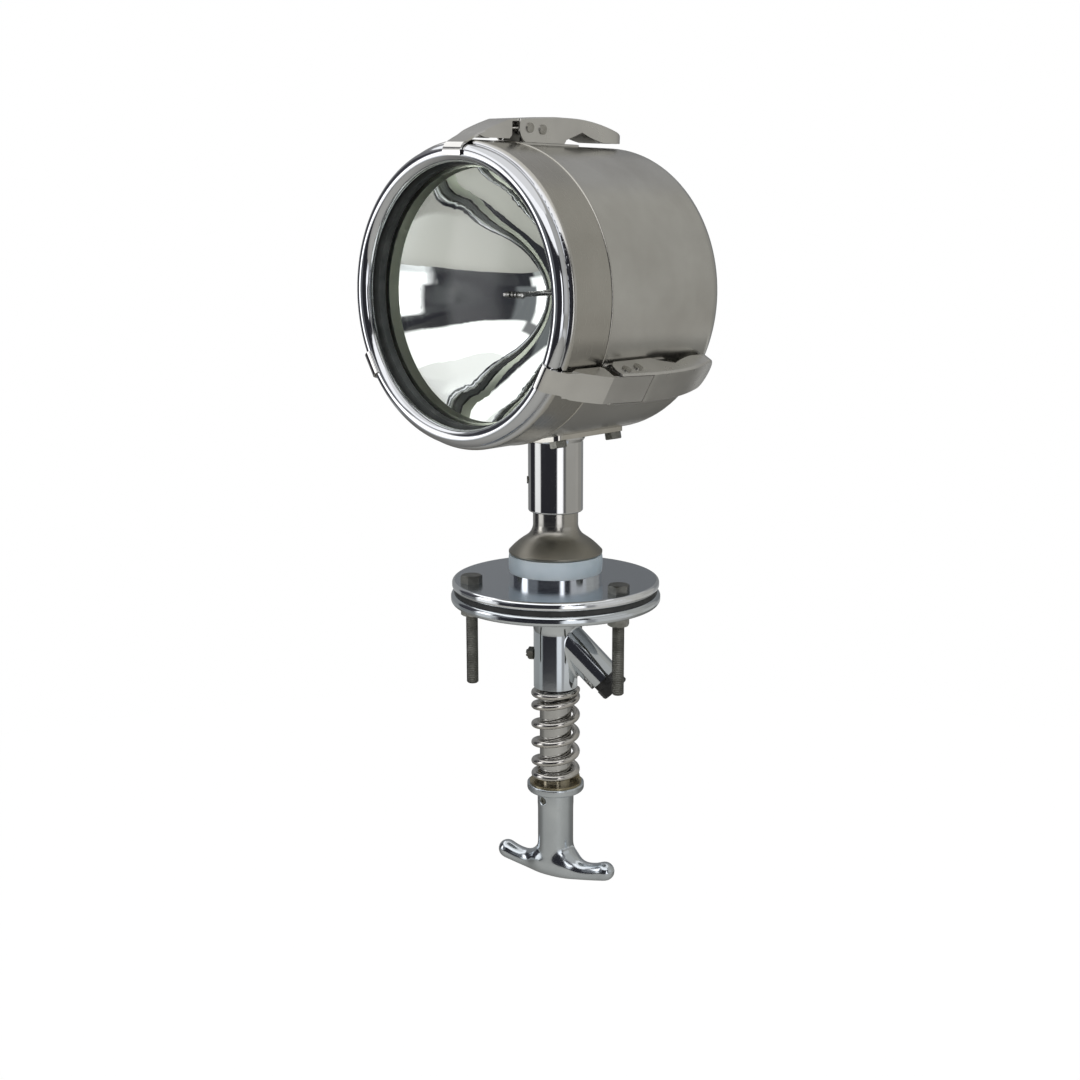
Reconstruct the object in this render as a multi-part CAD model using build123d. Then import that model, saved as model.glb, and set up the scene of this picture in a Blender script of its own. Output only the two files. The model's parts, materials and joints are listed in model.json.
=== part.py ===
from build123d import *
import os
from math import acos, asin, atan2, cos, degrees, pi, radians, sin, sqrt

# Cabin-roof searchlight: a latched steel lamp drum on a column that passes through the roof to a T handle.
# Millimetres. Z runs up the column, the beam points along -Y, and z = 0 is the roof under the deck gasket.

# Fits
RUN_GAP = 0.05
FIXED_GAP = 0.02
SEAT_GAP = 0.05
LOOSE_GAP = 0.3
HOLE_GAP = 0.4

# Roof clamp: gasket, upper plate with its collar, lower flange, bolts
GASKET_T = 3.0
GASKET_R = 69.2
UPPER_PLATE_R = 70.5
UPPER_PLATE_T = 6.0
UPPER_RIM_ROUND = 2.2
LOWER_PLATE_R = 71.4
LOWER_PLATE_T = 7.0
LOWER_RIM_ROUND = 2.6
COLLAR_R = 31.6
COLLAR_H = 5.0
CLAMP_COUNT = 3
CLAMP_CIRCLE_R = 58.5
CLAMP_START_ANGLE = -2.5
CLAMP_D = 8.0
CLAMP_AF = 13.0
CLAMP_HEAD_H = 5.3
CLAMP_NUT_H = 6.5
CLAMP_LENGTH = 70.0
ROD_PASSAGE_GAP = 1.8

# Lower flange's tube, cable branch and gland
LOWER_TUBE_R = 15.2
LOWER_TUBE_L = 61.0
LOWER_TUBE_ROUND = 22.0
GUIDE_L = 16.0
BRANCH_R = 11.75
BRANCH_BORE_R = 8.0
BRANCH_DROP = 18.0
BRANCH_LENGTH = 48.9
BRANCH_ANGLE = 45.0
BRANCH_AZIMUTH = 28.0
BRANCH_ROUND = 2.0
GLAND_COLLAR_R = 9.6
GLAND_COLLAR_H = 4.5
GLAND_SPIGOT_L = 12.0
GLAND_WALL = 1.6
GLAND_NUT_AF = 19.0
GLAND_NUT_H = 6.8
GLAND_SEAL_R = 5.8
GLAND_SEAL_L = 11.0
CABLE_BORE_R = 4.0
LOCK_SCREW_D = 5.0
LOCK_SCREW_SHOW = 1.4
LOCK_NUT_AF = 8.0
LOCK_NUT_H = 4.0
LOCK_SCREW_DROP = 39.0
LOCK_SCREW_AZIMUTH = 208.0

# Friction ring, bell and rod
FRICTION_RING_H = 12.0
FRICTION_RING_BULGE = 0.45
BELL_R = 31.8
BELL_RIM_H = 2.2
BELL_RIM_BREAK = 1.2
BELL_CONE_H = 9.7
BELL_CONE_TOP_R = 20.4
BELL_CONE_BULGE = 0.4
BELL_FLARE_H = 10.0
NECK_R = 15.3
NECK_SHOW = 7.7
NECK_SPIGOT = 32.0
ROD_R = 11.0
ROD_BORE_R = 6.5
ROD_SLOT_W = 9.0
ROD_SLOT_L = 26.0
SOCKET_DEPTH = 22.0

# Pedestal tube, saddle and its bolts
DRUM_AXIS_Z = 200.6
PEDESTAL_R = 18.5
PEDESTAL_ROUND = 1.2
WELD_LEG = 1.3
GRUB_D = 5.0
GRUB_SHOW = 0.8
GRUB_RISE = 21.0
GRUB_AZIMUTH = 225.0
SADDLE_T = 3.0
SADDLE_HALF_W = 24.5
SADDLE_FRONT_Y = -24.0
SADDLE_REAR_Y = 43.0
SADDLE_CORNER_R = 5.0
SADDLE_BOLT_D = 6.0
SADDLE_BOLT_AF = 10.0
SADDLE_BOLT_HEAD_H = 4.6
SADDLE_NUT_H = 5.0
SADDLE_BOLT_X = 18.5
SADDLE_BOLT_INSET = 6.0
SADDLE_BOLT_SPARE = 2.0
CABLE_HOLE_R = 8.0
GROMMET_FLANGE = 2.5
GROMMET_T = 1.6

# Drum: forward distances are measured from the column axis along the beam
BODY_R = 92.9
BODY_WALL = 1.0
BODY_REAR = -59.0
BODY_REAR_ROUND = 11.5
MOUTH = 62.0
RING_SLIP = 0.2
RING_WALL = 1.0
RING_LAP = 10.2
RING_HEM_R = 0.8
RING_CORNER_ROUND = 3.2
BEAD_INSET = 7.9
BEAD_PROUD = 1.8
BEAD_TUBE_R = 5.5
BEAD_START = -21.0
BEAD_END = 235.0
MOUTH_SEAL_T = 3.0
MOUTH_SEAL_FACE = 5.0
MOUTH_SEAL_SKIRT = 4.0

# Sealed lamp unit with its gasket and retaining ring
LENS_GASKET_WALL = 4.1
LAMP_RIM_W = 9.4
LENS_RIM_SUNK = 11.3
LENS_T = 3.5
LENS_RISE = 10.8
REFLECTOR_INSET = 1.5
REFLECTOR_WALL = 3.0
REFLECTOR_BAND = 8.0
REFLECTOR_DEPTH = 56.0
LENS_GASKET_BACK = 2.4
RETAINER_T = 1.3
RETAINER_W = 9.1
RETAINER_CURL = 4.0
RETAINER_SPLIT = 6.0
POST_R = 1.1
POST_SPACING = 16.0
FILAMENT_R = 2.2
FILAMENT_SPARE = 1.5
TERMINAL_R = 5.0
TERMINAL_H = 9.0
TERMINAL_SPACING = 30.0
TERMINAL_SCREW_R = 2.0
TERMINAL_SCREW_H = 4.0

# Spring, thrust washer and T handle
SPRING_R = 17.0
SPRING_WIRE_D = 5.0
SPRING_TURNS = 6.0
SPRING_CLOSED = 1.0
SPRING_START_ANGLE = 40.0
SPRING_POINTS_A_TURN = 10
SPRING_LENGTH = 69.1
WASHER_R = 18.2
WASHER_T = 1.2
HANDLE_FLANGE_R = 19.9
HANDLE_FLANGE_T = 5.7
HANDLE_FLANGE_ROUND = 2.2
SHANK_R = 12.66
T_DROP = 59.7
T_REACH = 40.2
T_ARM_R = 6.7
T_SAG = 5.0
T_YAW = 13.7
T_SWELL_R = 12.8
T_SWELL_START = 6.5
T_SWELL_END = 24.0
T_STEPS = 8
SET_SCREW_D = 5.0
SET_SCREW_DROP = 11.7
SET_SCREW_AZIMUTH = -94.0
SET_SCREW_SUNK = 0.4

# Draw latches. Each is described as if on top of the drum: across, along Y, and by height over the drum.
LATCHES = {"top": 87.5, "left": 210.5, "right": 330.5}
SHEET_T = 1.2
LEVER_HALF_W = 11.0
ARM_HALF_W = 9.5
EAR_HALF_W = 8.0
BASE_HALF_W = 9.0
BASE_T = 1.2
BASE_FRONT_Y = -49.0
BASE_REAR_Y = 9.5
BASE_CORNER_R = 3.0
PIVOT_Y = -40.0
PIVOT_H = 9.6
LINK_Y = -28.5
LINK_H = 8.9
PIN_R = 1.5
PIN_HEAD_R = 3.0
PIN_HEAD_H = 0.8
EAR_TOP_R = 3.4
EAR_FOOT_HALF = 5.5
KNUCKLE_R = 3.2
ARM_TAIL_R = 11.2
CLAW_T = 1.4
CLAW_HALF_W = 7.6
CLAW_NECK_Y = -84.0
CLAW_SHOULDER_Y = -77.0
CLAW_GAP = 0.3
CLAW_TIP_ANGLE = 195.0
CLAW_ROOT_ANGLE = 117.0
ARM_BEND_Y = -55.0
ARM_BEND_H = 14.3
ARM_SKIRT_FRONT_Y = -77.0
ARM_SKIRT_REAR_Y = -54.0
ARM_SKIRT_H = 2.7
LEVER_FRONT_Y = -47.5
LEVER_EAR_REACH = 1.2
LEVER_EAR_H = 7.5
LEVER_FOOT_FRONT_Y = -43.5
LEVER_FOOT_REAR_Y = -8.0
LEVER_FOOT_SLOPE = (-6.3, 3.4)
LEVER_FOOT_H = 1.0
LEVER_TOP_H = 16.94
LEVER_BEND_Y = -2.0
LEVER_TIP_Y = 52.5
LEVER_TIP_H = 7.2
LEVER_TIP_DEPTH = 4.2
LEVER_LOBE = (30.0, 2.8)
LEVER_LOBE_RISE = (20.0, 4.8)
LEVER_WAIST = (8.5, 8.6)
LEVER_ROUND = 1.4

# Heights that follow from the stack on the column
DECK_TOP = GASKET_T + UPPER_PLATE_T
COLLAR_TOP = DECK_TOP + COLLAR_H
BELL_BOTTOM = COLLAR_TOP + FRICTION_RING_H
NECK_BOTTOM = BELL_BOTTOM + BELL_RIM_H + BELL_CONE_H + BELL_FLARE_H
PEDESTAL_BOTTOM = NECK_BOTTOM + NECK_SHOW
SPIGOT_TOP = PEDESTAL_BOTTOM + NECK_SPIGOT
PEDESTAL_BORE_R = NECK_R + FIXED_GAP
SADDLE_IN_R = BODY_R + SEAT_GAP
SADDLE_OUT_R = SADDLE_IN_R + SADDLE_T
FLANGE_BOTTOM = -LOWER_PLATE_T
LOWER_TUBE_BOTTOM = FLANGE_BOTTOM - LOWER_TUBE_L
SPRING_BOTTOM = LOWER_TUBE_BOTTOM - SPRING_LENGTH
HANDLE_TOP = SPRING_BOTTOM - WASHER_T
ROD_BOTTOM = HANDLE_TOP - SOCKET_DEPTH + LOOSE_GAP
ROD_TOP = SPIGOT_TOP
BRANCH_Z = FLANGE_BOTTOM - BRANCH_DROP

# Radii and forward places that follow from the drum
RING_R = BODY_R + RING_SLIP + RING_WALL
RING_SEAM = MOUTH - RING_LAP
RETAINER_BACK = MOUTH + MOUTH_SEAL_FACE + 2 * SEAT_GAP
RETAINER_FRONT = RETAINER_BACK + RETAINER_T
LAMP_BACK = RETAINER_FRONT + LENS_GASKET_BACK + 2 * SEAT_GAP
LENS_RIM_FORWARD = LAMP_BACK + REFLECTOR_WALL + LENS_T + 2 * SEAT_GAP
BEAD_FORWARD = LENS_RIM_FORWARD + LENS_RIM_SUNK
RING_NOSE = BEAD_FORWARD - BEAD_PROUD
RING_CORNER = RING_NOSE - RING_CORNER_ROUND
BEAD_R = RING_R - BEAD_INSET
LAMP_RIM_R = BODY_R + RING_SLIP - LENS_GASKET_WALL - 2 * SEAT_GAP
LAMP_SIGHT_R = LAMP_RIM_R - LAMP_RIM_W
REFLECTOR_R = LAMP_SIGHT_R - REFLECTOR_INSET
REFLECTOR_BAND_BACK = LENS_RIM_FORWARD - LENS_T - REFLECTOR_BAND
RETAINER_INNER_R = RING_R - RING_WALL - RETAINER_W
PIVOT_OUT = BODY_R + PIVOT_H
LINK_OUT = BODY_R + LINK_H
ARM_BEND_OUT = BODY_R + ARM_BEND_H
ARM_SKIRT_OUT = BODY_R + ARM_SKIRT_H
LEVER_FOOT_OUT = BODY_R + LEVER_FOOT_H
LEVER_TOP_OUT = BODY_R + LEVER_TOP_H
LEVER_TIP_OUT = BODY_R + LEVER_TIP_H


def outline(edges):
    """A flat face from edges given in order."""
    return make_face(edges)


def turned(points):
    """A solid turned about Z from (radius, height) corners."""
    return revolve(Plane.XZ * make_face(Polyline(*points, close=True)), Axis.Z)


def hexagon(across_flats, height):
    """A hexagonal block that stands on z = 0, with its top corners turned off."""
    corner_r = across_flats / sqrt(3)
    block = extrude(RegularPolygon(corner_r, 6), height)
    drop = (corner_r - across_flats / 2) * 0.6
    cap = turned([(0, 0), (corner_r + drop, 0), (corner_r + drop, height - 2 * drop),
                  (across_flats / 2 - 0.2 * drop, height), (0, height)])
    return block & cap


def hex_bolt(diameter, length, across_flats, head_h):
    """A hex bolt with its head above z = 0 and its shank below, with a small point chamfer."""
    shank_r = diameter / 2
    point = diameter / 10
    shank = turned([(0, 0), (shank_r, 0), (shank_r, point - length), (shank_r - point, -length),
                    (0, -length)])
    return hexagon(across_flats, head_h) + shank


def hex_nut(across_flats, height, bore_r):
    """A hex nut that stands on z = 0."""
    return hexagon(across_flats, height) - Pos(0, 0, height / 2) * Cylinder(bore_r, 2 * height)


def around_column(piece, radius, azimuth, height):
    """Turn a piece's +Z outward from the column and set it at a radius, azimuth and height."""
    return Rot(0, 0, azimuth) * Pos(radius, 0, height) * Rot(0, 90, 0) * piece


def on_drum(piece):
    """Place a piece turned about Z so that its +Z points along the beam from the drum's centre."""
    return Pos(0, 0, DRUM_AXIS_Z) * Rot(90, 0, 0) * piece


def clamp_places():
    step = 360 / CLAMP_COUNT
    return [Rot(0, 0, CLAMP_START_ANGLE + step * i) * Pos(CLAMP_CIRCLE_R, 0, 0) for i in range(CLAMP_COUNT)]


def clamp_holes(bottom, top):
    hole = Pos(0, 0, (bottom + top) / 2) * Cylinder(CLAMP_D / 2 + HOLE_GAP, top - bottom + 2)
    return [place * hole for place in clamp_places()]


def make_deck_gasket():
    ring = turned([(LOWER_TUBE_R, 0), (GASKET_R, 0), (GASKET_R, GASKET_T), (LOWER_TUBE_R, GASKET_T)])
    return ring - clamp_holes(0, GASKET_T)


def make_upper_plate():
    bore_r = ROD_R + ROD_PASSAGE_GAP
    plate = turned([(bore_r, GASKET_T), (UPPER_PLATE_R, GASKET_T), (UPPER_PLATE_R, DECK_TOP),
                    (COLLAR_R, DECK_TOP), (COLLAR_R, COLLAR_TOP), (bore_r, COLLAR_TOP)])
    rim = [e for e in plate.edges().filter_by(GeomType.CIRCLE) if abs(e.radius - UPPER_PLATE_R) < 0.01]
    plate = fillet(rim, UPPER_RIM_ROUND)
    return plate - clamp_holes(GASKET_T, DECK_TOP)


def make_friction_ring():
    bore_r = ROD_R + RUN_GAP
    low = (COLLAR_R, COLLAR_TOP)
    high = (COLLAR_R, BELL_BOTTOM)
    middle = (COLLAR_R + FRICTION_RING_BULGE, (COLLAR_TOP + BELL_BOTTOM) / 2)
    side = ThreePointArc(low, middle, high)
    rest = Polyline(high, (bore_r, BELL_BOTTOM), (bore_r, COLLAR_TOP), low)
    return revolve(Plane.XZ * outline(side + rest), Axis.Z)


def make_bell():
    bore_r = ROD_R + FIXED_GAP
    rim_top = BELL_BOTTOM + BELL_RIM_H
    cone_top = rim_top + BELL_CONE_H
    rim = Polyline((bore_r, BELL_BOTTOM), (BELL_R - BELL_RIM_BREAK, BELL_BOTTOM),
                   (BELL_R, BELL_BOTTOM + BELL_RIM_BREAK), (BELL_R, rim_top))
    cone_middle = ((BELL_R + BELL_CONE_TOP_R) / 2 + BELL_CONE_BULGE,
                   (rim_top + cone_top) / 2 + BELL_CONE_BULGE)
    cone = ThreePointArc((BELL_R, rim_top), cone_middle, (BELL_CONE_TOP_R, cone_top))
    flare = TangentArc((BELL_CONE_TOP_R, cone_top), (NECK_R, NECK_BOTTOM), tangent=cone % 1)
    neck = Polyline((NECK_R, NECK_BOTTOM), (NECK_R, SPIGOT_TOP), (bore_r, SPIGOT_TOP), (bore_r, BELL_BOTTOM))
    body = revolve(Plane.XZ * outline(rim + cone + flare + neck), Axis.Z)
    return body - grub_hole()


def grub_height():
    return PEDESTAL_BOTTOM + GRUB_RISE


def grub_hole():
    """The hole that the pedestal's grub screw fills, from the tube's outside to the rod."""
    depth = PEDESTAL_R - ROD_R
    hole = Pos(0, 0, depth / 2) * Cylinder(GRUB_D / 2 + FIXED_GAP, depth + 2)
    return around_column(hole, ROD_R, GRUB_AZIMUTH, grub_height())


def make_pedestal_screw():
    length = PEDESTAL_R + GRUB_SHOW - ROD_R - RUN_GAP
    socket = Pos(0, 0, length) * extrude(RegularPolygon(GRUB_D / 4, 6), -GRUB_D / 2)
    screw = Pos(0, 0, length / 2) * Cylinder(GRUB_D / 2, length) - socket
    return around_column(screw, ROD_R + RUN_GAP, GRUB_AZIMUTH, grub_height())


def saddle_cylinder(radius):
    """A long cylinder about the drum's axis."""
    return Pos(0, 0, DRUM_AXIS_Z) * Rot(90, 0, 0) * Cylinder(radius, 4 * BODY_R)


def make_pedestal_tube():
    top = DRUM_AXIS_Z - SADDLE_OUT_R + PEDESTAL_R ** 2 / SADDLE_OUT_R
    weld_start = DRUM_AXIS_Z - SADDLE_OUT_R - WELD_LEG
    tube = turned([(PEDESTAL_BORE_R, PEDESTAL_BOTTOM), (PEDESTAL_R, PEDESTAL_BOTTOM),
                   (PEDESTAL_R, weld_start), (PEDESTAL_R + WELD_LEG, weld_start + 1.6 * WELD_LEG),
                   (PEDESTAL_R + WELD_LEG, top), (PEDESTAL_BORE_R, top)])
    mouth = [e for e in tube.edges().filter_by(GeomType.CIRCLE)
             if abs(e.radius - PEDESTAL_R) < 0.01 and abs(e.center().Z - PEDESTAL_BOTTOM) < 0.01]
    tube = fillet(mouth, PEDESTAL_ROUND)
    return tube - saddle_cylinder(SADDLE_OUT_R) - grub_hole()


def saddle_bolt_places():
    """Each bolt's place: its +Z points at the drum's axis, from the saddle's outer face."""
    tilt = degrees(asin(SADDLE_BOLT_X / SADDLE_OUT_R))
    places = []
    for y in (SADDLE_FRONT_Y + SADDLE_BOLT_INSET, SADDLE_REAR_Y - SADDLE_BOLT_INSET):
        for side in (-1, 1):
            places.append(Pos(0, y, DRUM_AXIS_Z) * Rot(0, -side * tilt, 0) * Pos(0, 0, -SADDLE_OUT_R))
    return places


def saddle_bolt_holes():
    hole = Pos(0, 0, SADDLE_T) * Cylinder(SADDLE_BOLT_D / 2 + HOLE_GAP / 2, 4 * SADDLE_T)
    return [place * hole for place in saddle_bolt_places()]


def cable_hole(radius):
    """The cable's way up through the saddle and the bottom of the drum."""
    return Pos(0, 0, DRUM_AXIS_Z - BODY_R) * Cylinder(radius, 6 * SADDLE_T)


def make_saddle_plate():
    length = SADDLE_REAR_Y - SADDLE_FRONT_Y
    middle_y = (SADDLE_REAR_Y + SADDLE_FRONT_Y) / 2
    plan = Pos(0, middle_y, DRUM_AXIS_Z - SADDLE_OUT_R) * extrude(
        RectangleRounded(2 * SADDLE_HALF_W, length, SADDLE_CORNER_R), SADDLE_OUT_R / 2)
    sheet = saddle_cylinder(SADDLE_OUT_R) - saddle_cylinder(SADDLE_IN_R)
    return (sheet & plan) - saddle_bolt_holes() - cable_hole(CABLE_HOLE_R + 1)


def saddle_bolt_grip():
    """From the saddle's outer face to the nut's seat inside the drum."""
    corner = SADDLE_BOLT_AF / sqrt(3)
    nut_seat_r = sqrt((BODY_R - BODY_WALL) ** 2 - corner ** 2)
    return SADDLE_OUT_R - nut_seat_r + FIXED_GAP


def make_saddle_bolts():
    length = saddle_bolt_grip() + SADDLE_NUT_H + SADDLE_BOLT_SPARE
    bolt = Rot(180, 0, 0) * hex_bolt(SADDLE_BOLT_D, length, SADDLE_BOLT_AF, SADDLE_BOLT_HEAD_H)
    return [place * Pos(0, 0, -FIXED_GAP) * bolt for place in saddle_bolt_places()]


def make_saddle_nuts():
    nut = Pos(0, 0, saddle_bolt_grip()) * hex_nut(SADDLE_BOLT_AF, SADDLE_NUT_H, SADDLE_BOLT_D / 2 + FIXED_GAP)
    return [place * nut for place in saddle_bolt_places()]


def make_cable_grommet():
    neck_r = CABLE_HOLE_R - FIXED_GAP
    flange_r = CABLE_HOLE_R + GROMMET_FLANGE
    seat = DRUM_AXIS_Z - sqrt((BODY_R - BODY_WALL) ** 2 - flange_r ** 2) + FIXED_GAP
    neck_bottom = DRUM_AXIS_Z - SADDLE_IN_R
    bore_r = CABLE_BORE_R + FIXED_GAP
    return turned([(bore_r, neck_bottom), (neck_r, neck_bottom), (neck_r, seat), (flange_r, seat),
                   (flange_r, seat + GROMMET_T), (bore_r, seat + GROMMET_T)])


def make_rod():
    rod = turned([(ROD_BORE_R, ROD_BOTTOM), (ROD_R, ROD_BOTTOM), (ROD_R, ROD_TOP), (ROD_BORE_R, ROD_TOP)])
    slot = SlotCenterToCenter(ROD_SLOT_L - ROD_SLOT_W, ROD_SLOT_W, rotation=90)
    window = Pos(0, 0, BRANCH_Z) * Rot(0, 0, BRANCH_AZIMUTH - 90) * Plane.XZ * extrude(slot, -2 * ROD_R)
    return rod - window


def branch_frame():
    """The branch's own frame: +Z runs out of the branch, from the tube's axis."""
    return Pos(0, 0, BRANCH_Z) * Rot(0, 0, BRANCH_AZIMUTH) * Rot(0, 90 + BRANCH_ANGLE, 0)


def make_lower_flange():
    plate = turned([(0, 0), (LOWER_PLATE_R, 0), (LOWER_PLATE_R, FLANGE_BOTTOM), (LOWER_TUBE_R, FLANGE_BOTTOM),
                    (LOWER_TUBE_R, LOWER_TUBE_BOTTOM), (0, LOWER_TUBE_BOTTOM)])
    rim = [e for e in plate.edges().filter_by(GeomType.CIRCLE) if abs(e.radius - LOWER_PLATE_R) < 0.01]
    plate = fillet(rim, LOWER_RIM_ROUND)
    root = [e for e in plate.edges().filter_by(GeomType.CIRCLE)
            if abs(e.radius - LOWER_TUBE_R) < 0.01 and abs(e.center().Z - FLANGE_BOTTOM) < 0.01]
    plate = fillet(root, LOWER_TUBE_ROUND)
    branch = branch_frame() * Pos(0, 0, BRANCH_LENGTH / 2) * Cylinder(BRANCH_R, BRANCH_LENGTH)
    whole = plate + branch
    crotch = [e for e in whole.edges()
              if e.center().Z < FLANGE_BOTTOM - LOWER_TUBE_ROUND and e.geom_type != GeomType.CIRCLE
              and e.geom_type != GeomType.LINE]
    whole = fillet(crotch, BRANCH_ROUND)
    relief_top = LOWER_TUBE_BOTTOM + GUIDE_L
    relief_r = ROD_R + ROD_PASSAGE_GAP
    relief = turned([(0, relief_top), (relief_r, relief_top), (relief_r, 1), (0, 1)])
    guide = turned([(0, LOWER_TUBE_BOTTOM - 1), (ROD_R + RUN_GAP, LOWER_TUBE_BOTTOM - 1),
                    (ROD_R + RUN_GAP, relief_top + 1), (0, relief_top + 1)])
    bore = branch_frame() * Pos(0, 0, BRANCH_LENGTH / 2 + 1) * Cylinder(BRANCH_BORE_R, BRANCH_LENGTH)
    whole = whole - relief - guide - bore
    return whole - clamp_holes(FLANGE_BOTTOM, 0) - lock_screw_hole()


def lock_screw_height():
    return FLANGE_BOTTOM - LOCK_SCREW_DROP


def lock_screw_hole():
    hole = Pos(0, 0, LOWER_TUBE_R / 2) * Cylinder(LOCK_SCREW_D / 2 + FIXED_GAP, LOWER_TUBE_R)
    return around_column(hole, ROD_R, LOCK_SCREW_AZIMUTH, lock_screw_height())


def lock_nut_seat():
    """Where a flat nut face clears the round tube."""
    return LOWER_TUBE_R + FIXED_GAP


def make_lock_screw():
    tip = ROD_R + 3 * RUN_GAP
    length = lock_nut_seat() + LOCK_NUT_H + LOCK_SCREW_SHOW - tip
    slot = Pos(0, 0, length) * Box(LOCK_SCREW_D / 6, LOCK_SCREW_D, LOCK_SCREW_D / 3)
    screw = Pos(0, 0, length / 2) * Cylinder(LOCK_SCREW_D / 2, length) - slot
    return around_column(screw, tip, LOCK_SCREW_AZIMUTH, lock_screw_height())


def make_lock_nut():
    nut = hex_nut(LOCK_NUT_AF, LOCK_NUT_H, LOCK_SCREW_D / 2 + FIXED_GAP)
    return around_column(nut, lock_nut_seat(), LOCK_SCREW_AZIMUTH, lock_screw_height())


def make_gland_body():
    """A threaded spigot in the branch's bore, a collar on its mouth, and a nose under the nut."""
    spigot_r = BRANCH_BORE_R - FIXED_GAP
    bore_r = GLAND_SEAL_R + FIXED_GAP
    nose_r = bore_r + GLAND_WALL
    body = turned([(CABLE_BORE_R, -GLAND_SPIGOT_L), (spigot_r, -GLAND_SPIGOT_L), (spigot_r, 0),
                   (GLAND_COLLAR_R, 0), (GLAND_COLLAR_R, GLAND_COLLAR_H), (nose_r, GLAND_COLLAR_H),
                   (nose_r, GLAND_COLLAR_H + GLAND_NUT_H / 2), (bore_r, GLAND_COLLAR_H + GLAND_NUT_H / 2),
                   (bore_r, seal_bottom()), (CABLE_BORE_R, seal_bottom())])
    return branch_frame() * Pos(0, 0, BRANCH_LENGTH + FIXED_GAP) * body


def seal_bottom():
    """Height of the seal's inner end above the branch's mouth."""
    return GLAND_COLLAR_H + GLAND_NUT_H - GLAND_WALL - FIXED_GAP - GLAND_SEAL_L


def make_gland_seal():
    low = seal_bottom() + FIXED_GAP
    seal = turned([(CABLE_BORE_R, low), (GLAND_SEAL_R, low), (GLAND_SEAL_R, low + GLAND_SEAL_L - FIXED_GAP),
                   (CABLE_BORE_R, low + GLAND_SEAL_L - FIXED_GAP)])
    return branch_frame() * Pos(0, 0, BRANCH_LENGTH + FIXED_GAP) * seal


def make_gland_nut():
    nose_r = GLAND_SEAL_R + FIXED_GAP + GLAND_WALL + FIXED_GAP
    nut = Pos(0, 0, GLAND_COLLAR_H) * hexagon(GLAND_NUT_AF, GLAND_NUT_H)
    ceiling = GLAND_COLLAR_H + GLAND_NUT_H - GLAND_WALL
    cavity = turned([(0, GLAND_COLLAR_H - 1), (nose_r, GLAND_COLLAR_H - 1), (nose_r, ceiling + FIXED_GAP),
                     (CABLE_BORE_R + LOOSE_GAP, ceiling + FIXED_GAP),
                     (CABLE_BORE_R + LOOSE_GAP, ceiling + 2 * GLAND_WALL), (0, ceiling + 2 * GLAND_WALL)])
    return branch_frame() * Pos(0, 0, BRANCH_LENGTH + 2 * FIXED_GAP) * (nut - cavity)


def make_clamp_bolts():
    bolt = hex_bolt(CLAMP_D, CLAMP_LENGTH, CLAMP_AF, CLAMP_HEAD_H)
    return [place * Pos(0, 0, DECK_TOP) * bolt for place in clamp_places()]


def make_clamp_nuts():
    nut = Pos(0, 0, FLANGE_BOTTOM) * Rot(180, 0, 0) * hex_nut(CLAMP_AF, CLAMP_NUT_H, CLAMP_D / 2 + FIXED_GAP)
    return [place * nut for place in clamp_places()]


def spring_height(turn):
    """Height of the wire's centre after some turns: closed at both ends and open between."""
    wire = SPRING_WIRE_D + RUN_GAP
    rise = SPRING_LENGTH - SPRING_WIRE_D
    open_turns = SPRING_TURNS - 2 * SPRING_CLOSED
    pitch = (rise - 2 * SPRING_CLOSED * wire) / open_turns
    ease = 0.25
    height = wire * turn + (pitch - wire) * ramp(turn - SPRING_CLOSED, ease)
    return height - (pitch - wire) * ramp(turn - SPRING_TURNS + SPRING_CLOSED, ease)


def ramp(x, ease):
    """Zero below -ease, x above ease, and a smooth curve between."""
    if x <= -ease:
        return 0
    if x >= ease:
        return x
    return (x + ease) ** 2 / (4 * ease)


def make_spring():
    mean_r = SPRING_R - SPRING_WIRE_D / 2
    low = SPRING_BOTTOM + SPRING_WIRE_D / 2
    steps = round(SPRING_TURNS * SPRING_POINTS_A_TURN)
    points = []
    for i in range(steps + 1):
        turn = i / SPRING_POINTS_A_TURN
        angle = radians(SPRING_START_ANGLE) + 2 * pi * turn
        points.append((mean_r * cos(angle), mean_r * sin(angle), low + spring_height(turn)))
    path = Spline(*points)
    wire = Plane(origin=path @ 0, z_dir=path % 0) * Circle(SPRING_WIRE_D / 2)
    return sweep(wire, path=path, is_frenet=True)


def make_thrust_washer():
    bore_r = ROD_R + RUN_GAP
    return turned([(bore_r, HANDLE_TOP), (WASHER_R, HANDLE_TOP), (WASHER_R, SPRING_BOTTOM),
                   (bore_r, SPRING_BOTTOM)])


def arm_section(x):
    """The T's round section at a distance from its middle: thick in the shank, then slim and lifted."""
    ease = min(max((T_SWELL_END - abs(x)) / (T_SWELL_END - T_SWELL_START), 0), 1)
    radius = T_ARM_R + (T_SWELL_R - T_ARM_R) * ease ** 2 * (3 - 2 * ease)
    bottom = HANDLE_TOP - T_DROP - T_SAG - T_ARM_R + T_SAG * (x / T_REACH) ** 2
    return Plane(origin=(x, 0, bottom + radius), z_dir=(1, 0, 0)) * Circle(radius)


def handle_arms():
    step = T_REACH / T_STEPS
    bar = loft([arm_section(step * i) for i in range(-T_STEPS, T_STEPS + 1)])
    tips = [Pos(side * T_REACH, 0, HANDLE_TOP - T_DROP) * Sphere(T_ARM_R) for side in (-1, 1)]
    return bar + tips


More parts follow.
